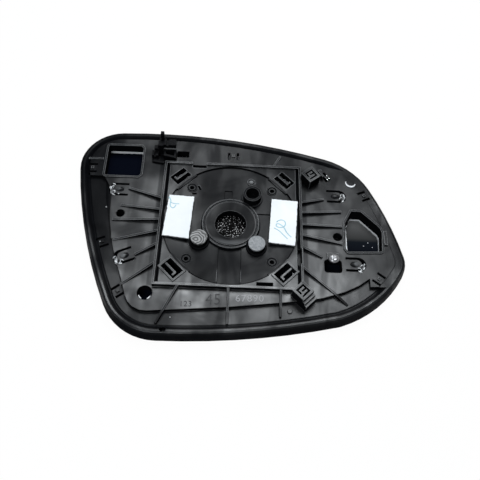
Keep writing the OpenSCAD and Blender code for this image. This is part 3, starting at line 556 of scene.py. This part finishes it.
# %% Painted highlights and edge wear
# Dimples of the tongues and the strength of their painted highlights.
DIMPLES = [((-0.0588, -0.0236), 0.60), ((0.0712, -0.0226), 0.55), ((-0.0672, 0.0209), 0.30)]
funnel = product(n, l, ease(n, l, from_middle, 0.0100, 0.0118),
                 ease(n, l, from_middle, 0.0136, 0.0142, 1.0, 0.0),
                 ease(n, l, y, -0.0135, -0.0085, 0.42, 0.0))
peg = ease(n, l, distance_to(n, l, x, y, (0.0114, 0.0302)), 0.0006, 0.0017, 0.9, 0.0)
highlights_and_wear = calc(n, l, "MAXIMUM", calc(n, l, "MAXIMUM", edge_highlight_and_wear, funnel), peg)
for at, amount in DIMPLES:
    dimple = ease(n, l, distance_to(n, l, x, y, at), 0.0008, 0.0020, amount, 0.0)
    highlights_and_wear = calc(n, l, "MAXIMUM", highlights_and_wear, dimple)
highlight_and_wear_mix = n.new("ShaderNodeMix")
highlight_and_wear_mix.data_type = "RGBA"
highlight_and_wear_mix.inputs["B"].default_value = (0.17, 0.175, 0.18, 1)
l.new(skin.inputs["Base Color"].links[0].from_socket, highlight_and_wear_mix.inputs["A"])
l.new(highlights_and_wear, highlight_and_wear_mix.inputs["Factor"])
l.new(highlight_and_wear_mix.outputs["Result"], skin.inputs["Base Color"])
rounded_edges(n, l, skin, 0.00045)
print("plate plastic has", len(n), "nodes")


# %% Give the plate its plastic
def finish_with(node_name, material):
    """Give a solid of the frame this finish alone."""
    nodes[node_name].data.materials.clear()
    nodes[node_name].data.materials.append(material)


finish_with("backing_plate", plate_plastic)
print("finished:", nodes["backing_plate"].name)

# %% [markdown]
# ## The clip's plastic
# The clip at the upper left is a separate moulding of a deeper black, with hardly any shine. The same
# plastic function serves, with a low specular level all over.

# %% Clip plastic
clip_plastic, n, l, skin = plastic(
    "clip_plastic", (0.0015, 0.0015, 0.002), (0.004, 0.004, 0.005), 0.25, 0.42, 1800, 0.0001)
skin.inputs["Specular IOR Level"].default_value = 0.05
rounded_edges(n, l, skin, 0.0003)
finish_with("wire_clip", clip_plastic)
print("finished:", nodes["wire_clip"].name)

# %% [markdown]
# ## Mirror glass
# The face of the glass is the mirror and the back carries a dark protective coat, so the finish follows
# the direction of the face. In the windows the coat is dark blue on the left. On the right its colour is
# painted light and shade by place: grey at the upper side, fading to black toward the lower side.

# %% Mirror and coat
glass, n, l = new_material("mirror_and_coat")
mirror = n.new("ShaderNodeBsdfPrincipled")
mirror.inputs["Base Color"].default_value = (0.86, 0.88, 0.90, 1)
mirror.inputs["Metallic"].default_value = 1.0
mirror.inputs["Roughness"].default_value = 0.02
coat = n.new("ShaderNodeBsdfPrincipled")
coat.inputs["Roughness"].default_value = 0.30
coat.inputs["Specular IOR Level"].default_value = 0.002
print("mirror face and back coat made")

# %% Colour of the coat by place
COAT_LEFT = (0.0020, 0.0028, 0.0062, 1)
# Painted light and shade on the right coat: black at the lower side, grey at the upper side.
COAT_RIGHT_PAINTED_LIGHT = [
    (0.0, (0.004, 0.005, 0.008)),
    (0.30, (0.006, 0.008, 0.011)),
    (0.42, grey(0.035)),
    (0.70, grey(0.060)),
    (1.0, grey(0.095)),
]
place = coordinates(n, l)
along = n.new("ShaderNodeMapRange")
along.inputs["From Min"].default_value = -0.010
along.inputs["From Max"].default_value = 0.010
l.new(place["Y"], along.inputs["Value"])
tone = n.new("ShaderNodeMix")
tone.data_type = "RGBA"
tone.inputs["A"].default_value = COAT_LEFT
l.new(calc(n, l, "GREATER_THAN", place["X"], 0.0), tone.inputs["Factor"])
l.new(steps(n, l, along.outputs[0], COAT_RIGHT_PAINTED_LIGHT), tone.inputs["B"])
l.new(tone.outputs["Result"], coat.inputs["Base Color"])
print("coat colours on the right:", len(COAT_RIGHT_PAINTED_LIGHT))

# %% Mirror below, coat above
out = n.new("ShaderNodeOutputMaterial")
pick = n.new("ShaderNodeMixShader")
l.new(calc(n, l, "GREATER_THAN", direction(n, l)["Z"], 0.5), pick.inputs[0])
l.new(mirror.outputs[0], pick.inputs[1])
l.new(coat.outputs[0], pick.inputs[2])
l.new(pick.outputs[0], out.inputs["Surface"])
finish_with("mirror_glass", glass)
print("finished:", nodes["mirror_glass"].name)

# %% [markdown]
# ## White foam sheet
# The sheet was punched from soft white foam, so its cut edges are ragged. It is a flat curve with one
# outer loop and one loop for each hole: Blender fills such a curve and cuts the holes by itself, and a
# little noise on the points gives the torn look. The outer loop follows the plate's outline, which is five
# corner rounds joined by five long bows; x, y and radius of the rounds and the bows' radii are in mm.

# %% Plate outline
CORNERS = [
    (85.0, -19.1, 15.0),
    (44.9, 10.1, 43.3),
    (-67.8, 39.6, 25.6),
    (-37.3, -35.9, 32.8),
    (57.1, -42.5, 15.0),
]
SIDES = [190.6, 366.3, 303.3, 415.8, 68.0]


def side_centre(a, b, r):
    """Middle of the long bow of radius r that touches two corner rounds from outside."""
    gap = Vector((b[0] - a[0], b[1] - a[1]))
    d = gap.length
    u = gap / d
    along_side = ((r - a[2]) ** 2 - (r - b[2]) ** 2 + d * d) / (2 * d)
    off = math.sqrt((r - a[2]) ** 2 - along_side ** 2)
    return Vector(a[:2]) + along_side * u + off * Vector((-u.y, u.x))


def arc(centre, r, start, end, inward, step):
    """Points on an arc, moved inward, about a step apart."""
    span = (end - start) % (2 * math.pi)
    count = max(2, math.ceil(span * r / step))
    angles = [start + span * k / count for k in range(count)]
    return [centre + (r - inward) * Vector((math.cos(angle), math.sin(angle))) for angle in angles]


def plate_loop(inward, step=2.0):
    """The plate's outline in mm, moved inward."""
    centres = [side_centre(CORNERS[i], CORNERS[(i + 1) % 5], SIDES[i]) for i in range(5)]
    points = []
    for i, corner in enumerate(CORNERS):
        here = Vector(corner[:2])
        before = here - centres[i - 1]
        after = here - centres[i]
        ahead = Vector(CORNERS[(i + 1) % 5][:2]) - centres[i]
        angles = [math.atan2(v.y, v.x) for v in (before, after, ahead)]
        points += arc(here, corner[2], angles[0], angles[1], inward, step)
        points += arc(centres[i], SIDES[i], angles[1], angles[2], inward, step)
    return points


outline = plate_loop(0)
print("outline spans", round(max(p.x for p in outline) - min(p.x for p in outline), 1), "mm")

# %% [markdown]
# Blender's vector noise differs from run to run unless it is given a seed, and then every run would tear
# the foam in another way. With a seed, each run gives the same ragged edge.

# %% Ragged cut-outs
TORN_SEED = 7
noise.seed_set(TORN_SEED)


def torn(points, spacing, depth, seed):
    """Cut a loop's sides into short pieces and move each point a little, as torn foam is."""
    loop = []
    for a, b in zip(points, points[1:] + points[:1]):
        count = max(1, int((b - a).length / spacing))
        for k in range(count):
            p = a + (b - a) * k / count
            shift = noise.noise_vector(Vector((p.x * 0.9, p.y * 0.9, seed)))
            loop.append(p + depth * Vector((shift.x, shift.y)))
    return loop


def circle(x, y, r, count=28):
    angles = [2 * math.pi * k / count for k in range(count)]
    return [Vector((x + r * math.cos(angle), y + r * math.sin(angle))) for angle in angles]


def corners_of(*pairs):
    return [Vector(p) for p in pairs]


print("a torn square of 10 mm has", len(torn(corners_of((0, 0), (10, 0), (10, 10), (0, 10)), 0.8, 0.34, 0)),
      "points")

# %% Openings of the sheet
cut_outs = [
    corners_of((-78.0, 29.2), (-54.0, 29.2), (-54.2, 52.9), (-77.8, 52.6)),
    corners_of((67.9, -14.8), (86.2, -13.8), (86.6, -1.9), (85.7, 0.4), (76.2, 10.4), (70.5, 10.4),
               (67.8, 4.2)),
    corners_of((-36, -36), (36, -36), (36, 36), (-36, 36)),
    circle(-66.8, 21.2, 4.3), circle(63.0, 22.9, 4.3), circle(-58.4, -23.3, 4.3), circle(71.6, -22.3, 4.3),
    circle(-63.8, 4.3, 3.6), circle(61.5, -5.3, 3.7), circle(-44.4, -44.9, 5.2),
    corners_of((52.0, -29.3), (64.0, -29.3), (64.0, -17.3), (52.0, -17.3)),
    corners_of((-35.7, 45.4), (-26.3, 45.4), (-26.3, 52.2), (-35.7, 52.2)),
]
slot_turn = math.radians(33)
slot_mid = Vector((56.3, 36.4))
slot_half = [(-2.9, -4.6), (2.9, -4.6), (2.9, 4.6), (-2.9, 4.6)]
slot_rotation = Matrix.Rotation(slot_turn, 2)
cut_outs.append([slot_mid + slot_rotation @ Vector(half) for half in slot_half])
print("cut-outs in the sheet:", len(cut_outs))

# %% [markdown]
# A curve can be filled, but the finished piece has to be a mesh. So the curve is built once, its filled
# shape is copied to a mesh, and the curve is dropped. The sheet stays a hair thinner than the solid that it
# stands for, so that it lies inside it.

# %% From curve to mesh
HAIR = 0.00002


def mesh_of(holder):
    """Turn a curve or text object into a plain mesh without materials, and drop the object."""
    seen = holder.evaluated_get(bpy.context.evaluated_depsgraph_get())
    mesh = bpy.data.meshes.new_from_object(seen)
    bpy.data.objects.remove(holder)
    mesh.materials.clear()
    return mesh


def flat_sheet(name, loops, low, high):
    """A flat sheet from low to high, with the first loop as its edge and the others as holes."""
    curve = bpy.data.curves.new(name, "CURVE")
    curve.dimensions = "2D"
    curve.fill_mode = "BOTH"
    for loop in loops:
        spline = curve.splines.new("POLY")
        spline.points.add(len(loop) - 1)
        for point, p in zip(spline.points, loop):
            point.co = (p.x * MM, p.y * MM, 0, 1)
        spline.use_cyclic_u = True
    curve.extrude = (high - low) / 2 - HAIR
    mesh = mesh_of(in_scene(name, curve))
    mesh.transform(Matrix.Translation((0, 0, (high + low) / 2)))
    return in_scene(name, mesh)


print("the sheet will be", round((SHEET_TOP - GLASS_TOP - 2 * HAIR) / MM, 2), "mm thick")

# %% Build the sheet
SHEET_INSET = 3.0
sheet_loops = [plate_loop(SHEET_INSET)]
sheet_loops += [torn(loop, 0.8, 0.34, index) for index, loop in enumerate(cut_outs)]
foam_sheet = flat_sheet("white_foam_sheet", sheet_loops, GLASS_TOP, SHEET_TOP)
print("sheet faces:", len(foam_sheet.data.polygons))

# %% Foam finish
foam_white, n, l, skin = plastic(
    "white_foam", (0.80, 0.82, 0.84), (0.95, 0.96, 0.97), 0.8, 0.95, 3200, 0.0003)
skin.inputs["Specular IOR Level"].default_value = 0.2
foam_sheet.data.materials.append(foam_white)
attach(foam_sheet, "root")
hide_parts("foam_sheet")
print("foam sheet rides on the root body")

# %% [markdown]
# ## Speckled foam in the ball bore
# At the bottom of the bore lies a disc of open black foam. Its cut cells catch the light, and here that
# light is painted: small bright dots in the colour are painted glints. The disc is a fine grid of rings
# whose top is pushed up and down by noise, and the glints sit in the middles of the cells of a Voronoi
# pattern.

# %% Rings of the foam disc
RINGS = 60
SPOKES = 180
FOAM_R = 0.0115
FOAM_DIP = 0.0004
LUMPS = [(1900, 1.3, 0.00022), (700, 4.1, 0.00016)]
foam_mesh = bpy.data.meshes.new("bore_foam")
bm = bmesh.new()
rings = []
for j in range(1, RINGS + 1):
    ring = []
    for k in range(SPOKES):
        a = 2 * math.pi * k / SPOKES
        r = FOAM_R * j / RINGS
        px = r * math.cos(a)
        py = r * math.sin(a)
        lump = 0
        for fine, seed, height in LUMPS:
            lump += noise.noise(Vector((px * fine, py * fine, seed))) * height
        ring.append(bm.verts.new((px, py, FOAM_TOP - FOAM_DIP + lump)))
    rings.append(ring)
print("foam disc points:", len(bm.verts))

# %% Faces of the foam disc
middle = bm.verts.new((0, 0, FOAM_TOP - FOAM_DIP))
base = [bm.verts.new((v.co.x, v.co.y, GLASS_TOP + HAIR)) for v in rings[-1]]
base_middle = bm.verts.new((0, 0, GLASS_TOP + HAIR))
for k in range(SPOKES):
    following = (k + 1) % SPOKES
    bm.faces.new((middle, rings[0][k], rings[0][following]))
    bm.faces.new((base_middle, base[following], base[k]))
    bm.faces.new((rings[-1][k], base[k], base[following], rings[-1][following]))
    for inner, outer in zip(rings, rings[1:]):
        bm.faces.new((inner[k], outer[k], outer[following], inner[following]))
bm.to_mesh(foam_mesh)
bm.free()
bore_foam = in_scene("bore_foam", foam_mesh)
print("foam disc faces:", len(foam_mesh.polygons))

# %% Speckled finish with painted glints
speckle, n, l = new_material("speckled_foam")
out = n.new("ShaderNodeOutputMaterial")
skin = n.new("ShaderNodeBsdfPrincipled")
l.new(skin.outputs[0], out.inputs["Surface"])
place = n.new("ShaderNodeTexCoord")
cells = n.new("ShaderNodeTexVoronoi")
cells.inputs["Scale"].default_value = 1120
l.new(place.outputs["Object"], cells.inputs["Vector"])
# Painted glints: bright dots in the colour, where cut cells would catch the light.
painted_glints = steps(n, l, cells.outputs["Distance"], [(0.0, grey(0.95)), (0.17, grey(0.75)), (0.31, grey(0.002))])
glint_patch = steps(n, l, noise_field(n, l, 900, 2), [(0.36, grey(0.0)), (0.50, grey(1.0))])
blend = n.new("ShaderNodeMix")
blend.data_type = "RGBA"
blend.blend_type = "MULTIPLY"
blend.inputs["Factor"].default_value = 1.0
l.new(painted_glints, blend.inputs["A"])
l.new(glint_patch, blend.inputs["B"])
l.new(blend.outputs["Result"], skin.inputs["Base Color"])
skin.inputs["Roughness"].default_value = 0.5
skin.inputs["Specular IOR Level"].default_value = 0.04
l.new(bump(n, l, cells.outputs["Distance"], 0.8, 0.0003), skin.inputs["Normal"])
foam_mesh.materials.append(speckle)
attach(bore_foam, "root")
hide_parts("socket_foam")
print("speckled foam has", len(n), "nodes")

# %% [markdown]
# ## White pads with pen strokes
# Two white pads lie on the seat, with a few loose strokes of a pale teal pen on each. The pads' edges were
# cut by hand, so their loops get the same little noise as the foam sheet's openings. A stroke could be
# painted on the pad's colour; here it is a thin flat ribbon that follows a smooth curve, so that it is
# there in the mesh too.

# %% Pads with hand-cut edges
pad_white, n, l, skin = plastic(
    "pad_white", (0.74, 0.77, 0.79), (0.86, 0.88, 0.89), 0.6, 0.8, 1500, 0.0002)
skin.inputs["Specular IOR Level"].default_value = 0.2
PAD_SHRINK = 0.992


def cut_pad(name, seed):
    """Cut a pad again from its solid's outline, with a hand-cut edge."""
    node = nodes[name]
    places = [node.matrix_world @ vertex.co for vertex in node.data.vertices]
    points = {(round(p.x / MM, 3), round(p.y / MM, 3)) for p in places}
    centre = Vector((sum(p[0] for p in points), sum(p[1] for p in points))) / len(points)
    loop = sorted((Vector(p) for p in points), key=lambda p: math.atan2(p.y - centre.y, p.x - centre.x))
    loop = [centre + (p - centre) * PAD_SHRINK for p in loop]
    low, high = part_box(name)
    pad = flat_sheet(name + "_cut", [torn(loop, 0.9, 0.30, seed)], low.z, high.z)
    pad.data.materials.append(pad_white)
    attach(pad, "root")
    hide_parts(name)
    return pad


pads = [cut_pad("pad_left", 21), cut_pad("pad_right", 22)]
print("pads:", [pad.name for pad in pads])

# %% Pen stroke helper
PEN_LIFT = 0.00004
PEN_FLAT = 0.15
PEN_AIR = 0.00003
pen_teal, n, l, skin = plastic(
    "pen_teal", (0.16, 0.42, 0.52), (0.42, 0.66, 0.74), 0.5, 0.6, 1200, 0.0001)


def pen_stroke(name, points, width):
    """A flat ribbon of ink through points in mm."""
    curve = bpy.data.curves.new(name, "CURVE")
    curve.dimensions = "3D"
    curve.resolution_u = 6
    spline = curve.splines.new("NURBS")
    spline.points.add(len(points) - 1)
    for point, (x, y) in zip(spline.points, points):
        point.co = (x * MM, y * MM, PAD_TOP + PEN_LIFT, 1)
    spline.use_endpoint_u = True
    spline.order_u = 3
    curve.bevel_mode = "ROUND"
    curve.bevel_depth = width * MM / 2
    curve.bevel_resolution = 1
    mesh = mesh_of(in_scene(name, curve))
    for v in mesh.vertices:
        v.co.z = PAD_TOP + (v.co.z - PAD_TOP) * PEN_FLAT + PEN_AIR
    stroke = in_scene(name, mesh)
    mesh.materials.append(pen_teal)
    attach(stroke, "root")
    return stroke


print("ink lies", round(PEN_AIR / MM, 3), "mm over the pads")

# %% Pen strokes on the pads
pen_stroke("pen_stroke_left_a", [(-36.6, 15.0), (-34.8, 13.2), (-35.8, 9.4), (-33.2, 6.6), (-32.0, 9.8)],
           0.5)
pen_stroke("pen_stroke_left_b", [(-35.6, 11.6), (-33.2, 10.2), (-30.2, 10.6)], 0.45)
pen_stroke("pen_stroke_right_a", [(26.2, 1.2), (28.0, 3.0), (31.0, 2.4), (31.6, -0.8), (28.8, -2.8),
                                  (25.6, -1.6), (26.6, 0.8), (30.4, -1.6), (32.0, -6.2), (34.6, -8.4)],
           0.55)
pen_stroke("pen_stroke_right_b", [(24.8, -2.8), (27.6, -4.2), (30.2, -7.4), (32.4, -9.6)], 0.5)

# %% [markdown]
# ## Post caps and metal tab
# The left cap was turned and scuffed, so dark lines curl over its pale top, with pale crescents that are
# painted highlights: a wave pattern in rings, bent by noise, gives them. The right cap is matt and a little
# mottled. The heater's terminal is a small tinned channel, and a noise with a steep ramp paints bright and
# black reflections on it, as if it were a little wavy.

# %% Scuffed left cap with painted highlights
cap_left, n, l, skin = plastic(
    "cap_scuffed_highlit", (0.03, 0.03, 0.03), (0.34, 0.34, 0.33), 0.22, 0.4, 900, 0.0004)
place = n.new("ShaderNodeTexCoord")
centred = n.new("ShaderNodeVectorMath")
centred.operation = "SUBTRACT"
centred.inputs[1].default_value = (-0.0190, -0.0135, 0.0)
l.new(place.outputs["Object"], centred.inputs[0])
swirl = n.new("ShaderNodeTexWave")
swirl.wave_type = "RINGS"
swirl.rings_direction = "Z"
swirl.inputs["Scale"].default_value = 215
swirl.inputs["Distortion"].default_value = 8.0
swirl.inputs["Detail"].default_value = 2
swirl.inputs["Detail Scale"].default_value = 1.1
l.new(centred.outputs[0], swirl.inputs["Vector"])
# Ramp of the rings: the dark stops are scuffs, the palest stop is a painted highlight.
SCUFFS_AND_HIGHLIGHTS = [(0.04, grey(0.045)), (0.22, grey(0.10)), (0.60, grey(0.155)), (0.96, grey(0.28))]
l.new(steps(n, l, swirl.outputs["Fac"], SCUFFS_AND_HIGHLIGHTS), skin.inputs["Base Color"])
skin.inputs["Specular IOR Level"].default_value = 0.12
finish_with("post_cap_left", cap_left)
print("scuffed cap has", len(n), "nodes")

# %% Matt right cap
cap_right, n, l, skin = plastic(
    "cap_matt", (0.17, 0.18, 0.19), (0.30, 0.31, 0.32), 0.55, 0.7, 1500, 0.0002)
MOTTLE = [(0.36, (0.19, 0.20, 0.21)), (0.64, (0.32, 0.33, 0.34))]
l.new(steps(n, l, noise_field(n, l, 620, 4, 0.8), MOTTLE), skin.inputs["Base Color"])
skin.inputs["Specular IOR Level"].default_value = 0.1
finish_with("post_cap_right", cap_right)
print("matt cap has", len(n), "nodes")

# %% Tinned terminal
tinned, n, l, skin = plastic(
    "tinned_metal", (0.03, 0.03, 0.03), (0.80, 0.80, 0.80), 0.12, 0.35, 600, 0.0004)
skin.inputs["Metallic"].default_value = 1.0
# Painted reflections: the steep ramp turns the noise into black and bright patches on the metal.
painted_reflections = noise_field(n, l, 700, 1)
l.new(steps(n, l, painted_reflections, [(0.44, grey(0.02)), (0.58, grey(0.85))]), skin.inputs["Base Color"])
finish_with("terminal_tab", tinned)
print("tinned metal has", len(n), "nodes")

# %% [markdown]
# ## Foam shreds
# The white sheet swells into the narrow cuts round the spring tongues and into the crescent cut at the
# upper right, where its torn edge shows as small white shreds, and a few loose strands lie over the ends of
# the tongues. Each is a narrow wall with a roof-shaped top that follows an arc: its width and its height
# change along the arc by noise, so that no two look the same.

# %% Shred helper
def shred(name, middle, radius, first, last, width, foot, top, seed, ragged=0.9):
    """A narrow torn wall along an arc round middle; sizes in mm, first and last in degrees."""
    mesh = bpy.data.meshes.new(name)
    bm = bmesh.new()
    count = max(6, int(abs(last - first) / 6))
    eaves = 0.12
    rows = []
    for k in range(count + 1):
        share = k / count
        angle = math.radians(first + (last - first) * share)
        swell = 0.35 + 0.65 * math.sin(math.pi * share) + 0.3 * noise.noise(Vector((k * 0.7, seed, 0)))
        half = max(0.08, width / 2 * swell)
        crest = top + ragged * 0.5 * noise.noise(Vector((k * 0.9, seed, 5)))
        shift = 0.12 * noise.noise(Vector((k * 0.8, seed, 9)))
        ridge = radius + shift
        section = [(ridge - half, foot), (ridge - half, crest - eaves), (ridge, crest),
                   (ridge + half, crest - eaves), (ridge + half, foot)]
        row = []
        for r, h in section:
            px = middle[0] + r * math.cos(angle)
            py = middle[1] + r * math.sin(angle)
            row.append(bm.verts.new((px * MM, py * MM, h * MM)))
        rows.append(row)
    for a, b in zip(rows, rows[1:]):
        for m in range(5):
            bm.faces.new((a[m], a[(m + 1) % 5], b[(m + 1) % 5], b[m]))
    bm.faces.new(rows[0][::-1])
    bm.faces.new(rows[-1])
    bmesh.ops.recalc_face_normals(bm, faces=bm.faces)
    bm.to_mesh(mesh)
    bm.free()
    piece = in_scene(name, mesh)
    mesh.materials.append(foam_bright)
    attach(piece, "root")
    return piece


print("shred helper:", shred.__name__)

# %% Foam shreds in the cuts
foam_bright, n, l, skin = plastic(
    "white_foam_edge", (0.75, 0.77, 0.79), (0.93, 0.94, 0.95), 0.8, 0.95, 2600, 0.0002)
skin.inputs["Specular IOR Level"].default_value = 0.2
shred("shred_crescent", (71.6, 33.3), 2.95, 170, 340, 1.0, 8.05, 9.40, 1, 0.5)
# Name, place of the end, the way it points in degrees, and the shreds' spans in degrees and width in mm
TONGUES = [
    ("upper_left", (-67.2, 20.9), 180,
     ((118, 140, 0.5), (146, 178, 0.8), (206, 222, 0.6), (228, 262, 0.45))),
    ("upper_right", (62.6, 22.6), 0, ((-58, -34, 0.7), (-20, 4, 0.4), (12, 40, 0.6))),
    ("lower_left", (-58.8, -23.6), 205, ((176, 192, 0.35), (214, 246, 0.8), (256, 286, 0.9))),
    ("lower_right", (71.2, -22.6), 0, ((-88, -58, 0.8), (-46, -14, 0.6), (2, 20, 0.4))),
]
SLIT_RADIUS = 3.75
SHRED_FOOT = 3.9
SHRED_TOP = 8.7
for index, (name, at, facing, spans) in enumerate(TONGUES):
    reach = math.radians(facing)
    tip = (at[0] + math.cos(reach), at[1] + math.sin(reach))
    for part, (first, last, width) in enumerate(spans):
        seed = 10 * index + part
        shred("shred_%s_%d" % (name, part), tip, SLIT_RADIUS, first, last, width,
              SHRED_FOOT, SHRED_TOP, seed, 1.6)
print("tongues with shreds:", len(TONGUES))

# %% Loose strands over the tongues
# Degrees round the tongue's end, then the strand's own first and last degree and its radius in mm
STRANDS = {
    "upper_left": ((150, 20, 100, 1.7), (172, 110, 190, 1.2), (214, 330, 420, 1.5), (236, 60, 130, 1.8)),
    "upper_right": ((-40, 80, 160, 1.8), (-18, 10, 90, 1.3), (6, 120, 200, 1.6)),
    "lower_left": ((214, 100, 170, 1.9), (236, 300, 390, 1.4), (262, 30, 110, 1.7)),
    "lower_right": ((-74, 20, 110, 1.6), (-50, 200, 280, 1.9), (-24, 80, 170, 1.4)),
}
STRAND_REACH = 3.9
STRAND_WIDTH = 0.34
STRAND_FOOT = 9.24
STRAND_TOP = 9.62
for index, (name, at, *_) in enumerate(TONGUES):
    for part, (around, first, last, r) in enumerate(STRANDS[name]):
        reach = math.radians(around)
        strand_middle = (at[0] + STRAND_REACH * math.cos(reach), at[1] + STRAND_REACH * math.sin(reach))
        seed = 60 + 7 * index + part
        shred("strand_%s_%d" % (name, part), strand_middle, r, first, last, STRAND_WIDTH,
              STRAND_FOOT, STRAND_TOP, seed, 0.3)
print("strands:", sum(len(strands) for strands in STRANDS.values()))

# %% Shreds in the round hole
for first, last in ((200, 244), (296, 338)):
    shred("shred_hole_%d" % first, (-44.4, -44.9), 3.4, first, last, 0.6, 2.3, 8.4, first, 1.2)
torn_pieces = [piece for piece in bpy.data.objects if piece.name.startswith(("shred_", "strand_"))]
print("shreds and strands:", len(torn_pieces))

# %% [markdown]
# ## Tinned clip over the square hole
# A thin tinned clip is pressed over the moulded tab at the square hole. It is a small dome with a dent,
# bright on the side that faces the lamp. The same dome, much smaller and with hardly a dent, also makes
# the light crumbs of foam that lie about on the plate and the glass.

# %% Dome helper
def dome(name, at, radius_x, radius_y, foot, height, finish, slot, dent):
    """A closed dome over an oval; places and sizes in mm, dent is how far noise pushes its top."""
    mesh = bpy.data.meshes.new(name)
    bm = bmesh.new()
    around = 28
    steps_out = 8
    rings = []
    for j in range(1, steps_out + 1):
        ring = []
        for k in range(around):
            a = 2 * math.pi * k / around
            share = j / steps_out
            px = radius_x * share * math.cos(a)
            py = radius_y * share * math.sin(a)
            rise = height * math.sqrt(max(0.0, 1 - share * share))
            rise += dent * noise.noise(Vector((px * 0.9 + at[0], py * 0.9 + at[1], 2.0))) * (1 - share)
            ring.append(bm.verts.new(((at[0] + px) * MM, (at[1] + py) * MM, (foot + rise) * MM)))
        rings.append(ring)
    middle = bm.verts.new((at[0] * MM, at[1] * MM, (foot + height) * MM))
    under = bm.verts.new((at[0] * MM, at[1] * MM, foot * MM))
    for k in range(around):
        m = (k + 1) % around
        bm.faces.new((middle, rings[0][k], rings[0][m]))
        bm.faces.new((under, rings[-1][m], rings[-1][k]))
        for inner, outer in zip(rings, rings[1:]):
            bm.faces.new((inner[k], outer[k], outer[m], inner[m]))
    for face in bm.faces:
        face.smooth = True
    bm.to_mesh(mesh)
    bm.free()
    piece = in_scene(name, mesh)
    mesh.materials.append(finish)
    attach(piece, "root")
    return piece


print("dome helper:", dome.__name__)

# %% Tinned clip
clip_tin, n, l, skin = plastic(
    "clip_tin", (0.10, 0.10, 0.105), (0.42, 0.42, 0.43), 0.22, 0.36, 900, 0.00012)
skin.inputs["Metallic"].default_value = 0.8
tinned_clip = dome("tinned_clip", (58.5, -19.9), 3.35, 2.9, 9.85, 1.7, clip_tin, "tab", 0.7)
print("tinned clip faces:", len(tinned_clip.data.polygons))

# %% Light crumbs of foam
# x, y, height of the face below and radius, in mm
CRUMBS = [
    (80.6, -4.4, 2.2, 0.30),
    (78.0, -6.6, 2.2, 0.24),
    (83.0, -7.2, 2.2, 0.26),
    (-73.0, 9.4, 7.0, 0.32),
    (-73.0, -13.6, 6.85, 0.42),
    (-29.8, -57.3, 6.8, 0.30),
    (-66.6, 17.6, 9.2, 0.42),
]
for index, (cx, cy, face_z, size) in enumerate(CRUMBS):
    depth = size * 0.8
    dome("foam_crumb_%d" % index, (cx, cy), size, depth, face_z, depth, foam_bright, "white_foam", 0.1)
print("crumbs:", len(CRUMBS))

# %% [markdown]
# ## Moulded figures
# The plateau below the frame carries three groups of small raised figures, plain numbers in three sizes.
# Blender's text object gives their shape; its mesh is laid flat on the plateau as a thin raised skin, in a
# black plastic like the plate's. The widest group is lighter grey and shinier, and that grey is a painted
# highlight.

# %% Plastics of the figures
figure_plastic, n, l, skin = plastic(
    "figure_plastic", (0.003, 0.003, 0.004), (0.008, 0.008, 0.010), 0.3, 0.5, 2600, 0.0001)
skin.inputs["Specular IOR Level"].default_value = 0.20
# The widest group's lighter grey is a painted highlight.
figure_painted_highlight, n, l, skin = plastic(
    "figure_painted_highlight", (0.06, 0.06, 0.065), (0.22, 0.22, 0.23), 0.3, 0.6, 1500, 0.0001)
skin.inputs["Specular IOR Level"].default_value = 0.9
print("figure plastics:", figure_plastic.name, figure_painted_highlight.name)


# %% Figures on the plateau
FIGURE_SKIN = 0.00006
FIGURE_LIFT = 0.00007


def figures(name, body, at, height, squeeze, finish, turn):
    """Raised figures from a place in mm; height in mm, squeeze makes them narrower, turn in degrees."""
    curve = bpy.data.curves.new(name, "FONT")
    curve.body = body
    curve.size = height * 1.4 * MM
    curve.extrude = FIGURE_SKIN
    curve.resolution_u = 3
    curve.space_character = 1.1
    mesh = mesh_of(in_scene(name, curve))
    to_place = Matrix.Translation((at[0] * MM, at[1] * MM, PLATEAU + FIGURE_LIFT))
    to_turn = Matrix.Rotation(math.radians(turn), 4, "Z")
    mesh.transform(to_place @ to_turn @ Matrix.Diagonal((squeeze, 1, 1, 1)))
    piece = in_scene(name, mesh)
    mesh.materials.append(finish)
    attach(piece, "root")
    return piece


figures("figures_small", "123", (-25.4, -52.0), 3.2, 0.95, figure_plastic, 2)
figures("figures_large", "45", (-11.6, -50.4), 6.6, 0.86, figure_plastic, 2)
figures("figures_wide", "67890", (4.2, -47.9), 4.0, 1.02, figure_painted_highlight, 2)
